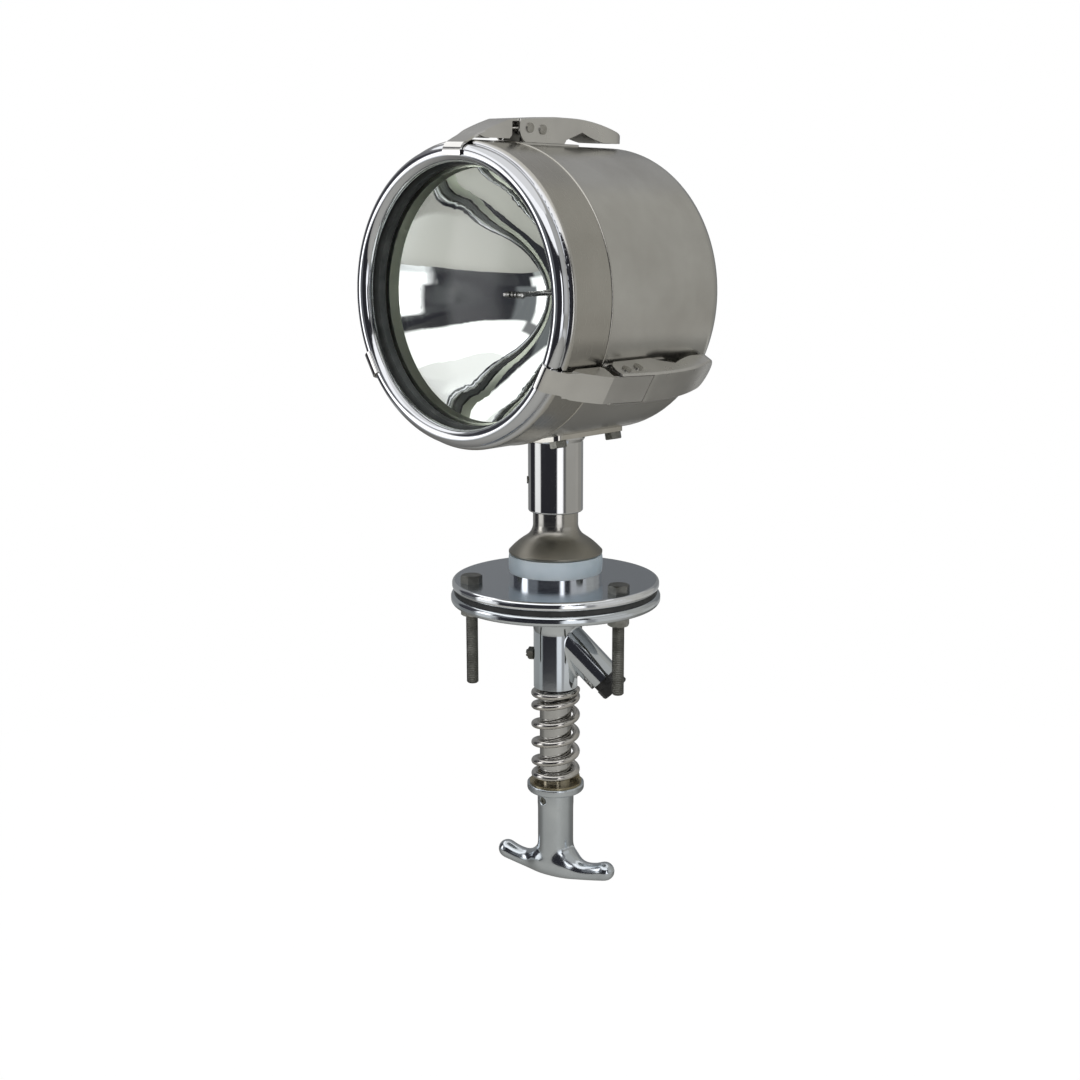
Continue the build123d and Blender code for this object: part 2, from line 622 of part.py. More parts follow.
def make_handle():
    swell_z = HANDLE_TOP - T_DROP - T_SAG - T_ARM_R + T_SWELL_R
    shank = turned([(0, HANDLE_TOP), (SHANK_R, HANDLE_TOP), (SHANK_R, swell_z), (0, swell_z)])
    body = shank + handle_arms()
    flange = turned([(0, HANDLE_TOP), (HANDLE_FLANGE_R, HANDLE_TOP),
                     (HANDLE_FLANGE_R, HANDLE_TOP - HANDLE_FLANGE_T), (0, HANDLE_TOP - HANDLE_FLANGE_T)])
    lower_edge = [e for e in flange.edges().filter_by(GeomType.CIRCLE) if e.center().Z < HANDLE_TOP - 1]
    flange = fillet(lower_edge, HANDLE_FLANGE_ROUND)
    socket = Pos(0, 0, HANDLE_TOP - SOCKET_DEPTH / 2) * Cylinder(ROD_R + FIXED_GAP, SOCKET_DEPTH)
    return Rot(0, 0, T_YAW) * (body + flange) - socket - set_screw_hole()


def set_screw_hole():
    hole = Pos(0, 0, SHANK_R / 2) * Cylinder(SET_SCREW_D / 2 + FIXED_GAP, SHANK_R)
    return around_column(hole, ROD_R / 2, SET_SCREW_AZIMUTH, HANDLE_TOP - SET_SCREW_DROP)


def make_handle_screw():
    length = SHANK_R - SET_SCREW_SUNK - ROD_R - RUN_GAP
    socket = Pos(0, 0, length) * extrude(RegularPolygon(SET_SCREW_D / 4, 6), -length / 2)
    screw = Pos(0, 0, length / 2) * Cylinder(SET_SCREW_D / 2, length) - socket
    return around_column(screw, ROD_R + RUN_GAP, SET_SCREW_AZIMUTH, HANDLE_TOP - SET_SCREW_DROP)


def make_housing_body():
    """A spun can with a rounded rear edge, open at the front."""
    round_r = BODY_R - BODY_REAR_ROUND
    start = BODY_REAR + BODY_REAR_ROUND
    inner_r = BODY_R - BODY_WALL
    turn = sin(radians(45))
    inner_round = BODY_REAR_ROUND - BODY_WALL
    outer_step = BODY_REAR_ROUND * turn
    edges = [Line((0, BODY_REAR), (round_r, BODY_REAR)),
             ThreePointArc((round_r, BODY_REAR), (round_r + outer_step, start - outer_step), (BODY_R, start)),
             Polyline((BODY_R, start), (BODY_R, MOUTH), (inner_r, MOUTH), (inner_r, start)),
             ThreePointArc((inner_r, start), (round_r + inner_round * turn, start - inner_round * turn),
                           (round_r, BODY_REAR + BODY_WALL)),
             Polyline((round_r, BODY_REAR + BODY_WALL), (0, BODY_REAR + BODY_WALL), (0, BODY_REAR))]
    can = on_drum(revolve(Plane.XZ * outline(edges), Axis.Z))
    return can - saddle_bolt_holes() - cable_hole(CABLE_HOLE_R)


def on_bead(radius, angle):
    """A point of the bead's section: angle 0 points outwards and 90 forwards."""
    return (BEAD_R + radius * cos(radians(angle)), BEAD_FORWARD + radius * sin(radians(angle)))


def make_front_ring():
    """The spun front ring: its sleeve slides over the drum and its front edge is rolled into a bead."""
    inner_r = RING_R - RING_WALL
    turn = sin(radians(45))
    corner_r = RING_R - RING_CORNER_ROUND
    inner_round = RING_CORNER_ROUND - RING_WALL
    sleeve = [Line((RING_R, RING_SEAM), (RING_R, RING_CORNER)),
              ThreePointArc((RING_R, RING_CORNER),
                            (corner_r + RING_CORNER_ROUND * turn, RING_CORNER + RING_CORNER_ROUND * turn),
                            (corner_r, RING_NOSE)),
              Line((corner_r, RING_NOSE), (corner_r, RING_NOSE - RING_WALL)),
              ThreePointArc((corner_r, RING_NOSE - RING_WALL),
                            (corner_r + inner_round * turn, RING_CORNER + inner_round * turn),
                            (inner_r, RING_CORNER)),
              Polyline((inner_r, RING_CORNER), (inner_r, RING_SEAM), (RING_R, RING_SEAM))]
    middle = (BEAD_START + BEAD_END) / 2
    inner_tube = BEAD_TUBE_R - RING_WALL
    bead = [ThreePointArc(*[on_bead(BEAD_TUBE_R, a) for a in (BEAD_START, middle, BEAD_END)]),
            Line(on_bead(BEAD_TUBE_R, BEAD_END), on_bead(inner_tube, BEAD_END)),
            ThreePointArc(*[on_bead(inner_tube, a) for a in (BEAD_END, middle, BEAD_START)]),
            Line(on_bead(inner_tube, BEAD_START), on_bead(BEAD_TUBE_R, BEAD_START))]
    hem = Pos(inner_r + RING_HEM_R, RING_SEAM + RING_HEM_R) * Circle(RING_HEM_R)
    section = make_face(sleeve) + make_face(bead) + hem
    return on_drum(revolve(Plane.XZ * section, Axis.Z))


def gasket_front():
    """The lens gasket's front face lies just behind the bead."""
    return BEAD_FORWARD - BEAD_TUBE_R - SEAT_GAP


def make_lens_gasket():
    outer_r = RING_R - RING_WALL - SEAT_GAP
    lip_back = LENS_RIM_FORWARD + SEAT_GAP
    rim_r = LAMP_RIM_R + SEAT_GAP
    back = LAMP_BACK - SEAT_GAP
    end = back - LENS_GASKET_BACK
    ring = turned([(LAMP_SIGHT_R, lip_back), (LAMP_SIGHT_R, gasket_front()), (outer_r, gasket_front()),
                   (outer_r, end), (RETAINER_INNER_R, end), (RETAINER_INNER_R, back), (rim_r, back),
                   (rim_r, lip_back)])
    return on_drum(ring)


def make_lamp_lens():
    """Clear glass front: a shallow dome with a flat rim."""
    sight = LAMP_SIGHT_R
    dome_r = (sight ** 2 + LENS_RISE ** 2) / (2 * LENS_RISE)
    half = sight / 2
    half_rise = sqrt(dome_r ** 2 - half ** 2) - (dome_r - LENS_RISE)
    front = LENS_RIM_FORWARD
    back = front - LENS_T
    edges = [ThreePointArc((0, front + LENS_RISE), (half, front + half_rise), (sight, front)),
             Polyline((sight, front), (LAMP_RIM_R, front), (LAMP_RIM_R, back), (sight, back)),
             ThreePointArc((sight, back), (half, back + half_rise), (0, back + LENS_RISE)),
             Line((0, back + LENS_RISE), (0, front + LENS_RISE))]
    return on_drum(revolve(Plane.XZ * outline(edges), Axis.Z))


def reflector_curve(radius):
    """Forward position of the mirror's parabola at a radius."""
    vertex = REFLECTOR_BAND_BACK - REFLECTOR_DEPTH
    return vertex + REFLECTOR_DEPTH * (radius / REFLECTOR_R) ** 2


def make_lamp_reflector():
    """Glass bowl: a rim flange, a short straight band, and a parabola mirrored inside."""
    flange_front = LENS_RIM_FORWARD - LENS_T - SEAT_GAP
    flange_back = flange_front - REFLECTOR_WALL
    outer_r = REFLECTOR_R + REFLECTOR_WALL
    steps = (0.0, 0.2, 0.4, 0.6, 0.8, 1.0)
    inner = [(REFLECTOR_R * s, reflector_curve(REFLECTOR_R * s)) for s in steps]
    outer = [(outer_r * s, reflector_curve(REFLECTOR_R * s) - REFLECTOR_WALL * (1.15 - 0.35 * s))
             for s in steps]
    edges = [Spline(*inner, tangents=[(1, 0), (1, 2 * REFLECTOR_DEPTH / REFLECTOR_R)]),
             Polyline(inner[-1], (REFLECTOR_R, flange_front), (LAMP_RIM_R, flange_front),
                      (LAMP_RIM_R, flange_back), (outer_r, flange_back), outer[-1]),
             Spline(*reversed(outer), tangents=[(-1, -2 * REFLECTOR_DEPTH / outer_r), (-1, 0)]),
             Line(outer[0], inner[0])]
    return on_drum(revolve(Plane.XZ * outline(edges), Axis.Z))


def make_retaining_ring():
    """Split spring ring that holds the lamp's gasket in the front ring."""
    outer_r = RING_R - RING_WALL - SEAT_GAP
    curl_r = RETAINER_INNER_R + RETAINER_T
    curl_back = RETAINER_BACK - RETAINER_CURL
    ring = turned([(RETAINER_INNER_R, RETAINER_FRONT), (outer_r, RETAINER_FRONT), (outer_r, RETAINER_BACK),
                   (curl_r, RETAINER_BACK), (curl_r, curl_back), (RETAINER_INNER_R, curl_back)])
    split = Pos(0, RING_R, RETAINER_FRONT) * Box(RETAINER_SPLIT, RING_R, 4 * RETAINER_CURL)
    return on_drum(ring - split)


def make_mouth_seal():
    outer_r = RING_R - RING_WALL - SEAT_GAP
    skirt_r = BODY_R - BODY_WALL - SEAT_GAP
    front = RETAINER_BACK - SEAT_GAP
    back = MOUTH + SEAT_GAP
    inner_r = outer_r - MOUTH_SEAL_T
    return on_drum(turned([(inner_r, MOUTH - MOUTH_SEAL_SKIRT), (skirt_r, MOUTH - MOUTH_SEAL_SKIRT),
                           (skirt_r, back), (outer_r, back), (outer_r, front), (inner_r, front)]))


def focus_forward():
    return reflector_curve(0) + REFLECTOR_R ** 2 / (4 * REFLECTOR_DEPTH)


def make_filament_posts():
    """Two nickel wires that stand on the bowl and carry the filament across the focus."""
    posts = []
    for side in (-1, 1):
        x = side * POST_SPACING / 2
        foot = reflector_curve(POST_SPACING / 2 + POST_R) + SEAT_GAP
        top = focus_forward() + FILAMENT_R
        post = Pos(x, 0, (foot + top) / 2) * Cylinder(POST_R, top - foot)
        posts.append(on_drum(post))
    return posts


def make_filament():
    """The coiled filament as a slim bar between its posts."""
    length = POST_SPACING - 2 * POST_R - 2 * SEAT_GAP
    coil = Rot(0, 90, 0) * Cylinder(FILAMENT_R, length)
    waist = Cylinder(FILAMENT_R + 1, FILAMENT_SPARE) - Cylinder(FILAMENT_R / 2, FILAMENT_SPARE)
    rings = [Pos(x * 2 * FILAMENT_SPARE, 0, 0) * Rot(0, 90, 0) * waist for x in (-1, 0, 1)]
    return on_drum(Pos(0, 0, focus_forward()) * (coil - rings))


def make_lamp_terminals():
    """Two screw terminals on the back of the bowl."""
    terminals = []
    reach = TERMINAL_SPACING / 2
    back = reflector_curve(reach - TERMINAL_R) - REFLECTOR_WALL * 1.15 - LOOSE_GAP
    for side in (-1, 1):
        block = Pos(0, 0, back - TERMINAL_H / 2) * Cylinder(TERMINAL_R, TERMINAL_H)
        screw = Rot(180, 0, 0) * hexagon(2 * TERMINAL_SCREW_R, TERMINAL_SCREW_H)
        terminals.append(on_drum(Pos(side * reach, 0, 0) * (block + Pos(0, 0, back - TERMINAL_H) * screw)))
    return terminals


def on_latch(piece, angle):
    """Turn a piece that is described on top of the drum to its latch's angle."""
    return Pos(0, 0, DRUM_AXIS_Z) * Rot(0, 90 - angle, 0) * piece


def side_plate(face, inner, outer):
    """Two plates of one outline, from inner to outer half width, one each side."""
    right = Pos(inner, 0, 0) * extrude(Plane.YZ * face, outer - inner)
    left = mirror(right, Plane.YZ)
    return right + left


def across(face, half_width):
    """One outline carried across the latch."""
    return extrude(Plane.YZ * face, half_width, both=True)


def pin_across(y, out, radius, half_width):
    return Pos(0, y, out) * Rot(0, 90, 0) * Cylinder(radius, 2 * half_width)


def latch_top(y):
    """The arm's and lever's shared top line, out from the drum axis."""
    slope = (LEVER_TOP_OUT - ARM_BEND_OUT) / (LINK_Y + ARM_TAIL_R - ARM_BEND_Y)
    return ARM_BEND_OUT + slope * (y - ARM_BEND_Y)


def make_latch_bracket():
    """Spot-welded base strip with two ears that carry the pivot pin."""
    inner_r = BODY_R + SEAT_GAP
    length = BASE_REAR_Y - BASE_FRONT_Y
    plan = Pos(0, (BASE_REAR_Y + BASE_FRONT_Y) / 2, 0) * extrude(
        RectangleRounded(2 * BASE_HALF_W, length, BASE_CORNER_R), BODY_R + 3 * BASE_T)
    strip = Rot(90, 0, 0) * (Cylinder(inner_r + BASE_T, 4 * length) - Cylinder(inner_r, 4 * length))
    foot = Polyline((PIVOT_Y - EAR_FOOT_HALF, BODY_R), (PIVOT_Y + EAR_FOOT_HALF, BODY_R),
                    (PIVOT_Y + EAR_TOP_R, PIVOT_OUT), (PIVOT_Y - EAR_TOP_R, PIVOT_OUT), close=True)
    ear = make_face(foot) + Pos(PIVOT_Y, PIVOT_OUT) * Circle(EAR_TOP_R)
    ears = side_plate(ear, EAR_HALF_W - SHEET_T, EAR_HALF_W)
    drum = Rot(90, 0, 0) * Cylinder(inner_r, 4 * length)
    hole = pin_across(PIVOT_Y, PIVOT_OUT, PIN_R + FIXED_GAP, LEVER_HALF_W)
    return (strip & plan) + (ears - drum) - hole


def make_pin(y, out, half_width):
    """A rivet with a head on each end."""
    reach = half_width + FIXED_GAP + PIN_HEAD_H / 2
    head = Pos(reach, y, out) * Rot(0, 90, 0) * Cylinder(PIN_HEAD_R, PIN_HEAD_H)
    shank = pin_across(y, out, PIN_R, reach)
    return shank + head + mirror(head, Plane.YZ)


def claw_point(radius, angle):
    return (-BEAD_FORWARD + radius * cos(radians(angle)), BEAD_R + radius * sin(radians(angle)))


def arm_plan():
    """The arm seen from outside: a narrow claw that widens to the arm's full width."""
    front_y = -BEAD_FORWARD - 2 * BEAD_TUBE_R
    rear_y = LINK_Y + 2 * ARM_TAIL_R
    half = Polyline((0, front_y), (CLAW_HALF_W, front_y), (CLAW_HALF_W, CLAW_NECK_Y),
                    (ARM_HALF_W, CLAW_SHOULDER_Y), (ARM_HALF_W, rear_y), (0, rear_y), close=True)
    plan = make_face(half)
    return Pos(0, 0, BEAD_R / 2) * extrude(plan + mirror(plan, Plane.YZ), BODY_R)


def make_latch_arm():
    """Pressed hook arm: a claw round the bead, a web that runs under the lever's ears, and folded skirts."""
    inner = BEAD_TUBE_R + CLAW_GAP
    outer = inner + CLAW_T
    middle = (CLAW_TIP_ANGLE + CLAW_ROOT_ANGLE) / 2
    slope = (sin(radians(CLAW_ROOT_ANGLE)), -cos(radians(CLAW_ROOT_ANGLE)))
    tail_y = LINK_Y + ARM_TAIL_R
    bend = (ARM_BEND_Y, ARM_BEND_OUT)
    under_bend = (ARM_BEND_Y + CLAW_T / 6, ARM_BEND_OUT - CLAW_T)
    claw_out = ThreePointArc(*[claw_point(outer, a) for a in (CLAW_TIP_ANGLE, middle, CLAW_ROOT_ANGLE)])
    claw_in = ThreePointArc(*[claw_point(inner, a) for a in (CLAW_ROOT_ANGLE, middle, CLAW_TIP_ANGLE)])
    rise_out = TangentArc(claw_point(outer, CLAW_ROOT_ANGLE), bend, tangent=slope)
    rise_in = TangentArc(claw_point(inner, CLAW_ROOT_ANGLE), under_bend, tangent=slope)
    tail = Polyline(bend, (tail_y, latch_top(tail_y)), (tail_y, latch_top(tail_y) - CLAW_T), under_bend)
    tip = Line(claw_point(inner, CLAW_TIP_ANGLE), claw_point(outer, CLAW_TIP_ANGLE))
    web = across(outline([claw_out, rise_out, tail, rise_in, claw_in, tip]), ARM_HALF_W)
    web = web & arm_plan()
    tail_room = pin_across(LINK_Y, LINK_OUT, ARM_TAIL_R, LEVER_HALF_W)
    tail_end = Pos(0, tail_y, LINK_OUT) * Box(4 * ARM_HALF_W, 2 * (ARM_TAIL_R - KNUCKLE_R), 2 * ARM_TAIL_R)
    web = web - (tail_end - tail_room)
    top = [rise_out @ t for t in (0.28, 0.6, 0.95)]
    under = [(p.X + CLAW_T / 4, p.Y - CLAW_T / 2) for p in top]
    skirt = make_face(Polyline((ARM_SKIRT_FRONT_Y, ARM_SKIRT_OUT - 0.3), *under,
                               (ARM_SKIRT_REAR_Y, latch_top(ARM_SKIRT_REAR_Y) - CLAW_T / 2),
                               (ARM_SKIRT_REAR_Y, ARM_SKIRT_OUT + 2), (ARM_SKIRT_REAR_Y - 2, ARM_SKIRT_OUT),
                               close=True))
    lobe_top = latch_top(LINK_Y) - CLAW_T / 2
    lobe = Pos(LINK_Y, LINK_OUT) * Circle(KNUCKLE_R) + make_face(Polyline(
        (LINK_Y - KNUCKLE_R, LINK_OUT), (LINK_Y + KNUCKLE_R, LINK_OUT), (LINK_Y + KNUCKLE_R, lobe_top),
        (LINK_Y - KNUCKLE_R, lobe_top), close=True))
    skirts = side_plate(skirt, ARM_HALF_W - SHEET_T, ARM_HALF_W)
    lobes = side_plate(lobe, ARM_HALF_W - SHEET_T, ARM_HALF_W)
    return web + skirts + lobes - pin_across(LINK_Y, LINK_OUT, PIN_R + RUN_GAP, LEVER_HALF_W)


def lever_plan(half_width):
    """The lever seen from outside: straight sides and a round tail."""
    tail_y = LEVER_TIP_Y - LEVER_HALF_W
    front_y = LEVER_FRONT_Y - 2 * LEVER_EAR_REACH
    bar = Pos(0, (tail_y + front_y) / 2) * Rectangle(2 * half_width, tail_y - front_y)
    return Pos(0, 0, BODY_R / 2) * extrude(bar + Pos(0, tail_y) * Circle(half_width), BODY_R)


def lever_top_edges(drop):
    """The lever's top line from its front to its tip, lowered by drop."""
    front = (LEVER_FRONT_Y - drop, latch_top(LEVER_FRONT_Y) - drop)
    crest = (LINK_Y + ARM_TAIL_R, LEVER_TOP_OUT - drop)
    bend = (LEVER_BEND_Y, LEVER_TOP_OUT - drop)
    tip = (LEVER_TIP_Y, LEVER_TIP_OUT - drop)
    return [Polyline(front, crest, bend), TangentArc(bend, tip, tangent=(1, 0))]


def make_latch_lever():
    """Pressed channel lever: two ears beside the arm, a web behind it, and a spoon-shaped tail."""
    tip_low = (LEVER_TIP_Y, LEVER_TIP_OUT - LEVER_TIP_DEPTH)
    lobe, lobe_rise, waist, foot_slope = [
        (y, BODY_R + height) for y, height in (LEVER_LOBE, LEVER_LOBE_RISE, LEVER_WAIST, LEVER_FOOT_SLOPE)]
    foot_front = (LEVER_FOOT_FRONT_Y, LEVER_FOOT_OUT)
    ear_front = (LEVER_FRONT_Y - LEVER_EAR_REACH, BODY_R + LEVER_EAR_H)
    lower = [Polyline((LEVER_TIP_Y, LEVER_TIP_OUT), tip_low, lobe),
             ThreePointArc(lobe, lobe_rise, waist),
             Polyline(waist, foot_slope, (LEVER_FOOT_REAR_Y, LEVER_FOOT_OUT), foot_front),
             ThreePointArc(foot_front, ear_front, (LEVER_FRONT_Y, latch_top(LEVER_FRONT_Y)))]
    block = across(outline(lever_top_edges(0) + lower), LEVER_HALF_W) & lever_plan(LEVER_HALF_W)
    top_faces = [f for f in block.faces() if f.normal_at().Z > 0.5]
    rims = [e for f in top_faces for e in f.edges()
            if abs(e.center().X) > 0.5 * LEVER_HALF_W or e.center().Y > LEVER_TIP_Y - LEVER_HALF_W]
    block = fillet(rims, LEVER_ROUND)
    low = BODY_R - LEVER_HALF_W
    front_y = LEVER_FRONT_Y - 2 * LEVER_EAR_REACH
    ceiling = latch_top(LEVER_FRONT_Y) - SHEET_T
    inside = lever_top_edges(SHEET_T) + [
        Polyline((LEVER_TIP_Y, LEVER_TIP_OUT - SHEET_T), (LEVER_TIP_Y, low), (front_y, low),
                 (front_y, ceiling), (LEVER_FRONT_Y - SHEET_T, ceiling))]
    inner_half = LEVER_HALF_W - SHEET_T
    cavity = across(outline(inside), inner_half) & lever_plan(inner_half)
    sweep_room = pin_across(LINK_Y, LINK_OUT, ARM_TAIL_R + LOOSE_GAP, inner_half)
    ear_room = Pos(0, (front_y + LINK_Y) / 2, LEVER_TOP_OUT) * Box(2 * inner_half, LINK_Y - front_y,
                                                                   LEVER_HALF_W)
    holes = [pin_across(PIVOT_Y, PIVOT_OUT, PIN_R + RUN_GAP, 2 * LEVER_HALF_W),
             pin_across(LINK_Y, LINK_OUT, PIN_R + FIXED_GAP, 2 * LEVER_HALF_W)]
    return block - cavity - sweep_room - ear_room - holes


def write_node(name, piece):
    """Write one node: a single solid, or a group of separate solids."""
    solids = []
    for item in (piece if isinstance(piece, list) else [piece]):
        solids.extend(item.solids())
    node = solids[0] if len(solids) == 1 else Compound(children=solids)
    node.label = name
    export_step(node, f"parts/{name}.step")


nodes = {
    "deck_gasket": make_deck_gasket(),
    "upper_plate": make_upper_plate(),
    "lower_flange": make_lower_flange(),
    "clamp_bolts": make_clamp_bolts(),
    "clamp_nuts": make_clamp_nuts(),
    "gland_body": make_gland_body(),
    "gland_seal": make_gland_seal(),
    "gland_nut": make_gland_nut(),
    "lock_screw": make_lock_screw(),
    "lock_nut": make_lock_nut(),
    "friction_ring": make_friction_ring(),
    "spring": make_spring(),
    "thrust_washer": make_thrust_washer(),
    "rod": make_rod(),
    "bell": make_bell(),
    "pedestal_tube": make_pedestal_tube(),
    "pedestal_screw": make_pedestal_screw(),
    "saddle_plate": make_saddle_plate(),
    "saddle_bolts": make_saddle_bolts(),
    "saddle_nuts": make_saddle_nuts(),
    "cable_grommet": make_cable_grommet(),
    "housing_body": make_housing_body(),
    "front_ring": make_front_ring(),
    "mouth_seal": make_mouth_seal(),
    "lens_gasket": make_lens_gasket(),
    "lamp_lens": make_lamp_lens(),
    "lamp_reflector": make_lamp_reflector(),
    "filament_posts": make_filament_posts(),
    "filament": make_filament(),
    "lamp_terminals": make_lamp_terminals(),
    "retaining_ring": make_retaining_ring(),
    "t_handle": make_handle(),
    "handle_screw": make_handle_screw(),
}

latch_pieces = {
    "bracket": make_latch_bracket(),
    "pivot_pin": make_pin(PIVOT_Y, PIVOT_OUT, LEVER_HALF_W),
    "lever": make_latch_lever(),
    "link_pin": make_pin(LINK_Y, LINK_OUT, LEVER_HALF_W),
    "arm": make_latch_arm(),
}
for place, angle in LATCHES.items():
    for piece_name, piece in latch_pieces.items():
        nodes[f"{place}_latch_{piece_name}"] = on_latch(piece, angle)

os.makedirs("parts", exist_ok=True)
for node_name, node_piece in nodes.items():
    write_node(node_name, node_piece)
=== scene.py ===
import json
from math import cos, degrees, pi, radians, sin

import bmesh
import bpy
from mathutils import Matrix, Vector

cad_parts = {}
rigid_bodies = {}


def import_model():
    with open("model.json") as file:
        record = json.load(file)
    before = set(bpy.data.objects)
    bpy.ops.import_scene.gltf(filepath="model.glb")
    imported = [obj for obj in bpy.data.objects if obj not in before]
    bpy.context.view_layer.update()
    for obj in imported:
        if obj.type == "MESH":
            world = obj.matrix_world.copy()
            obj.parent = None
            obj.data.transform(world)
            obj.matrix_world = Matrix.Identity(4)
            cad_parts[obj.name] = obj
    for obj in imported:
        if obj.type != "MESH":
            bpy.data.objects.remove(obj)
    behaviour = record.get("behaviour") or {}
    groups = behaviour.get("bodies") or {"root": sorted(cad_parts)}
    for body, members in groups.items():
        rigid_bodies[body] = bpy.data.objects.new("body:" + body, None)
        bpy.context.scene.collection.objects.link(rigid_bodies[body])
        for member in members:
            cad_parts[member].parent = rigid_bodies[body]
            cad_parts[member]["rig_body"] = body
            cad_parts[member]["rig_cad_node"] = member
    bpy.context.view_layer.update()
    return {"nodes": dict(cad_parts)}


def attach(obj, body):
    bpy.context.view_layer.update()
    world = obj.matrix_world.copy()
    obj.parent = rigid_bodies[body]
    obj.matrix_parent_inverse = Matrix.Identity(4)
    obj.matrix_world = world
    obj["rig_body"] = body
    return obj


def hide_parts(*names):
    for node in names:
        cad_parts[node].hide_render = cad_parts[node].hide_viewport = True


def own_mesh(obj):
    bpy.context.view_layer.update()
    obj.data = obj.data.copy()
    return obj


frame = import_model()
nodes = frame["nodes"]
scene = bpy.context.scene

# Camera: a long lens a metre away, to the right of the beam and a little above the lamp.
# The angles, lens and aim were fitted to the photograph's outlines.
VIEW_AZIMUTH = radians(43.28)
VIEW_ELEVATION = radians(12.22)
VIEW_ROLL = radians(-0.13)
VIEW_DISTANCE = 1.0
AIM_RIGHT = -0.01058
AIM_HEIGHT = 0.03499
LENS_LENGTH = 49.13
SENSOR_WIDTH = 36
NEAR_CLIP = 0.05
to_right = Vector((cos(VIEW_AZIMUTH), sin(VIEW_AZIMUTH), 0))
to_camera = Vector((sin(VIEW_AZIMUTH) * cos(VIEW_ELEVATION), -cos(VIEW_AZIMUTH) * cos(VIEW_ELEVATION),
                    sin(VIEW_ELEVATION)))
level_up = to_camera.cross(to_right)
camera_right = cos(VIEW_ROLL) * to_right + sin(VIEW_ROLL) * level_up
camera_up = cos(VIEW_ROLL) * level_up - sin(VIEW_ROLL) * to_right
camera = bpy.data.objects.new("camera", bpy.data.cameras.new("camera"))
camera.data.lens = LENS_LENGTH
camera.data.sensor_width = SENSOR_WIDTH
camera.data.clip_start = NEAR_CLIP
turn = Matrix((camera_right, camera_up, to_camera)).transposed().to_4x4()
aim = AIM_RIGHT * to_right + Vector((0, 0, AIM_HEIGHT))
camera.matrix_world = Matrix.Translation(aim + VIEW_DISTANCE * to_camera) @ turn
scene.collection.objects.link(camera)
scene.camera = camera
scene.view_settings.view_transform = "Standard"

# Surround: a plain white room. The camera, mirrors and glass see it as white,
# and the matt pieces get a softer, even light from it.
SURROUND_LIGHT = 0.55
SURROUND_SEEN = 1.0


def wire_up(tree, *pairs):
    """Link sockets in pairs: from, to."""
    for start, end in pairs:
        tree.links.new(start, end)


world = bpy.data.worlds.new("white surround")
world.use_nodes = True
scene.world = world
tree = world.node_tree
surround = tree.nodes["Background"]
surround.inputs["Color"].default_value = (1, 1, 1, 1)
seen = tree.nodes.new("ShaderNodeLightPath")
seen_or_mirrored = tree.nodes.new("ShaderNodeMath")
seen_or_mirrored.operation = "MAXIMUM"
any_sight = tree.nodes.new("ShaderNodeMath")
any_sight.operation = "MAXIMUM"
level = tree.nodes.new("ShaderNodeMapRange")
level.inputs["To Min"].default_value = SURROUND_LIGHT
level.inputs["To Max"].default_value = SURROUND_SEEN
wire_up(tree, (seen.outputs["Is Camera Ray"], seen_or_mirrored.inputs[0]),
        (seen.outputs["Is Glossy Ray"], seen_or_mirrored.inputs[1]),
        (seen_or_mirrored.outputs[0], any_sight.inputs[0]),
        (seen.outputs["Is Transmission Ray"], any_sight.inputs[1]),
        (any_sight.outputs[0], level.inputs["Value"]),
        (level.outputs[0], surround.inputs["Strength"]))

# Floor: a wide round of pale paper well below the lamp, seen as white.
# Away from the studio's front its paint is darker, seen in what mirrors it: painted shade, for the light
# falling off past its lamps.
FLOOR_Z = -0.85
STUDIO_R = 2.4
ROUND_STEPS = 96
STUDIO_FRONT = degrees(VIEW_AZIMUTH) - 90
FLOOR_FADE = 1.8
FLOOR_PAINTED_SHADE = ((0, (0.14, 0.138, 0.13)), (0.2, (0.24, 0.236, 0.222)), (0.35, (0.26, 0.256, 0.24)),
                (0.55, (0.44, 0.433, 0.408)), (0.8, (0.46, 0.452, 0.424)), (1, (0.5, 0.49, 0.46)))
PAPER_ROUGHNESS = 0.9
PAPER_GLOW = 1.02
GLOW_SHARE = 0.98


def object_place(tree):
    """Object coordinates."""
    return tree.nodes.new("ShaderNodeTexCoord").outputs["Object"]


def place_from_front(tree):
    """Object coordinates, turned so that X runs towards the studio's front."""
    turned = tree.nodes.new("ShaderNodeMapping")
    turned.inputs["Rotation"].default_value = (0, 0, -radians(STUDIO_FRONT))
    wire_up(tree, (object_place(tree), turned.inputs["Vector"]))
    return turned.outputs[0]


def across(tree, place, axis, start, end):
    """How far a place lies from one mark to another along an axis, from 0 to 1."""
    apart = tree.nodes.new("ShaderNodeSeparateXYZ")
    way = tree.nodes.new("ShaderNodeMapRange")
    way.inputs["From Min"].default_value = start
    way.inputs["From Max"].default_value = end
    wire_up(tree, (place, apart.inputs[0]), (apart.outputs[axis], way.inputs["Value"]))
    return way.outputs[0]


def colour_ramp(tree, pattern, stops):
    """Turn a pattern into colours. Each stop is a position and a colour."""
    ramp = tree.nodes.new("ShaderNodeValToRGB")
    elements = ramp.color_ramp.elements
    for element, (position, colour) in ((elements[0], stops[0]), (elements[1], stops[-1])):
        element.position = position
        element.color = (*colour, 1)
    for position, colour in stops[1:-1]:
        elements.new(position).color = (*colour, 1)
    wire_up(tree, (pattern, ramp.inputs["Fac"]))
    return ramp.outputs["Color"]


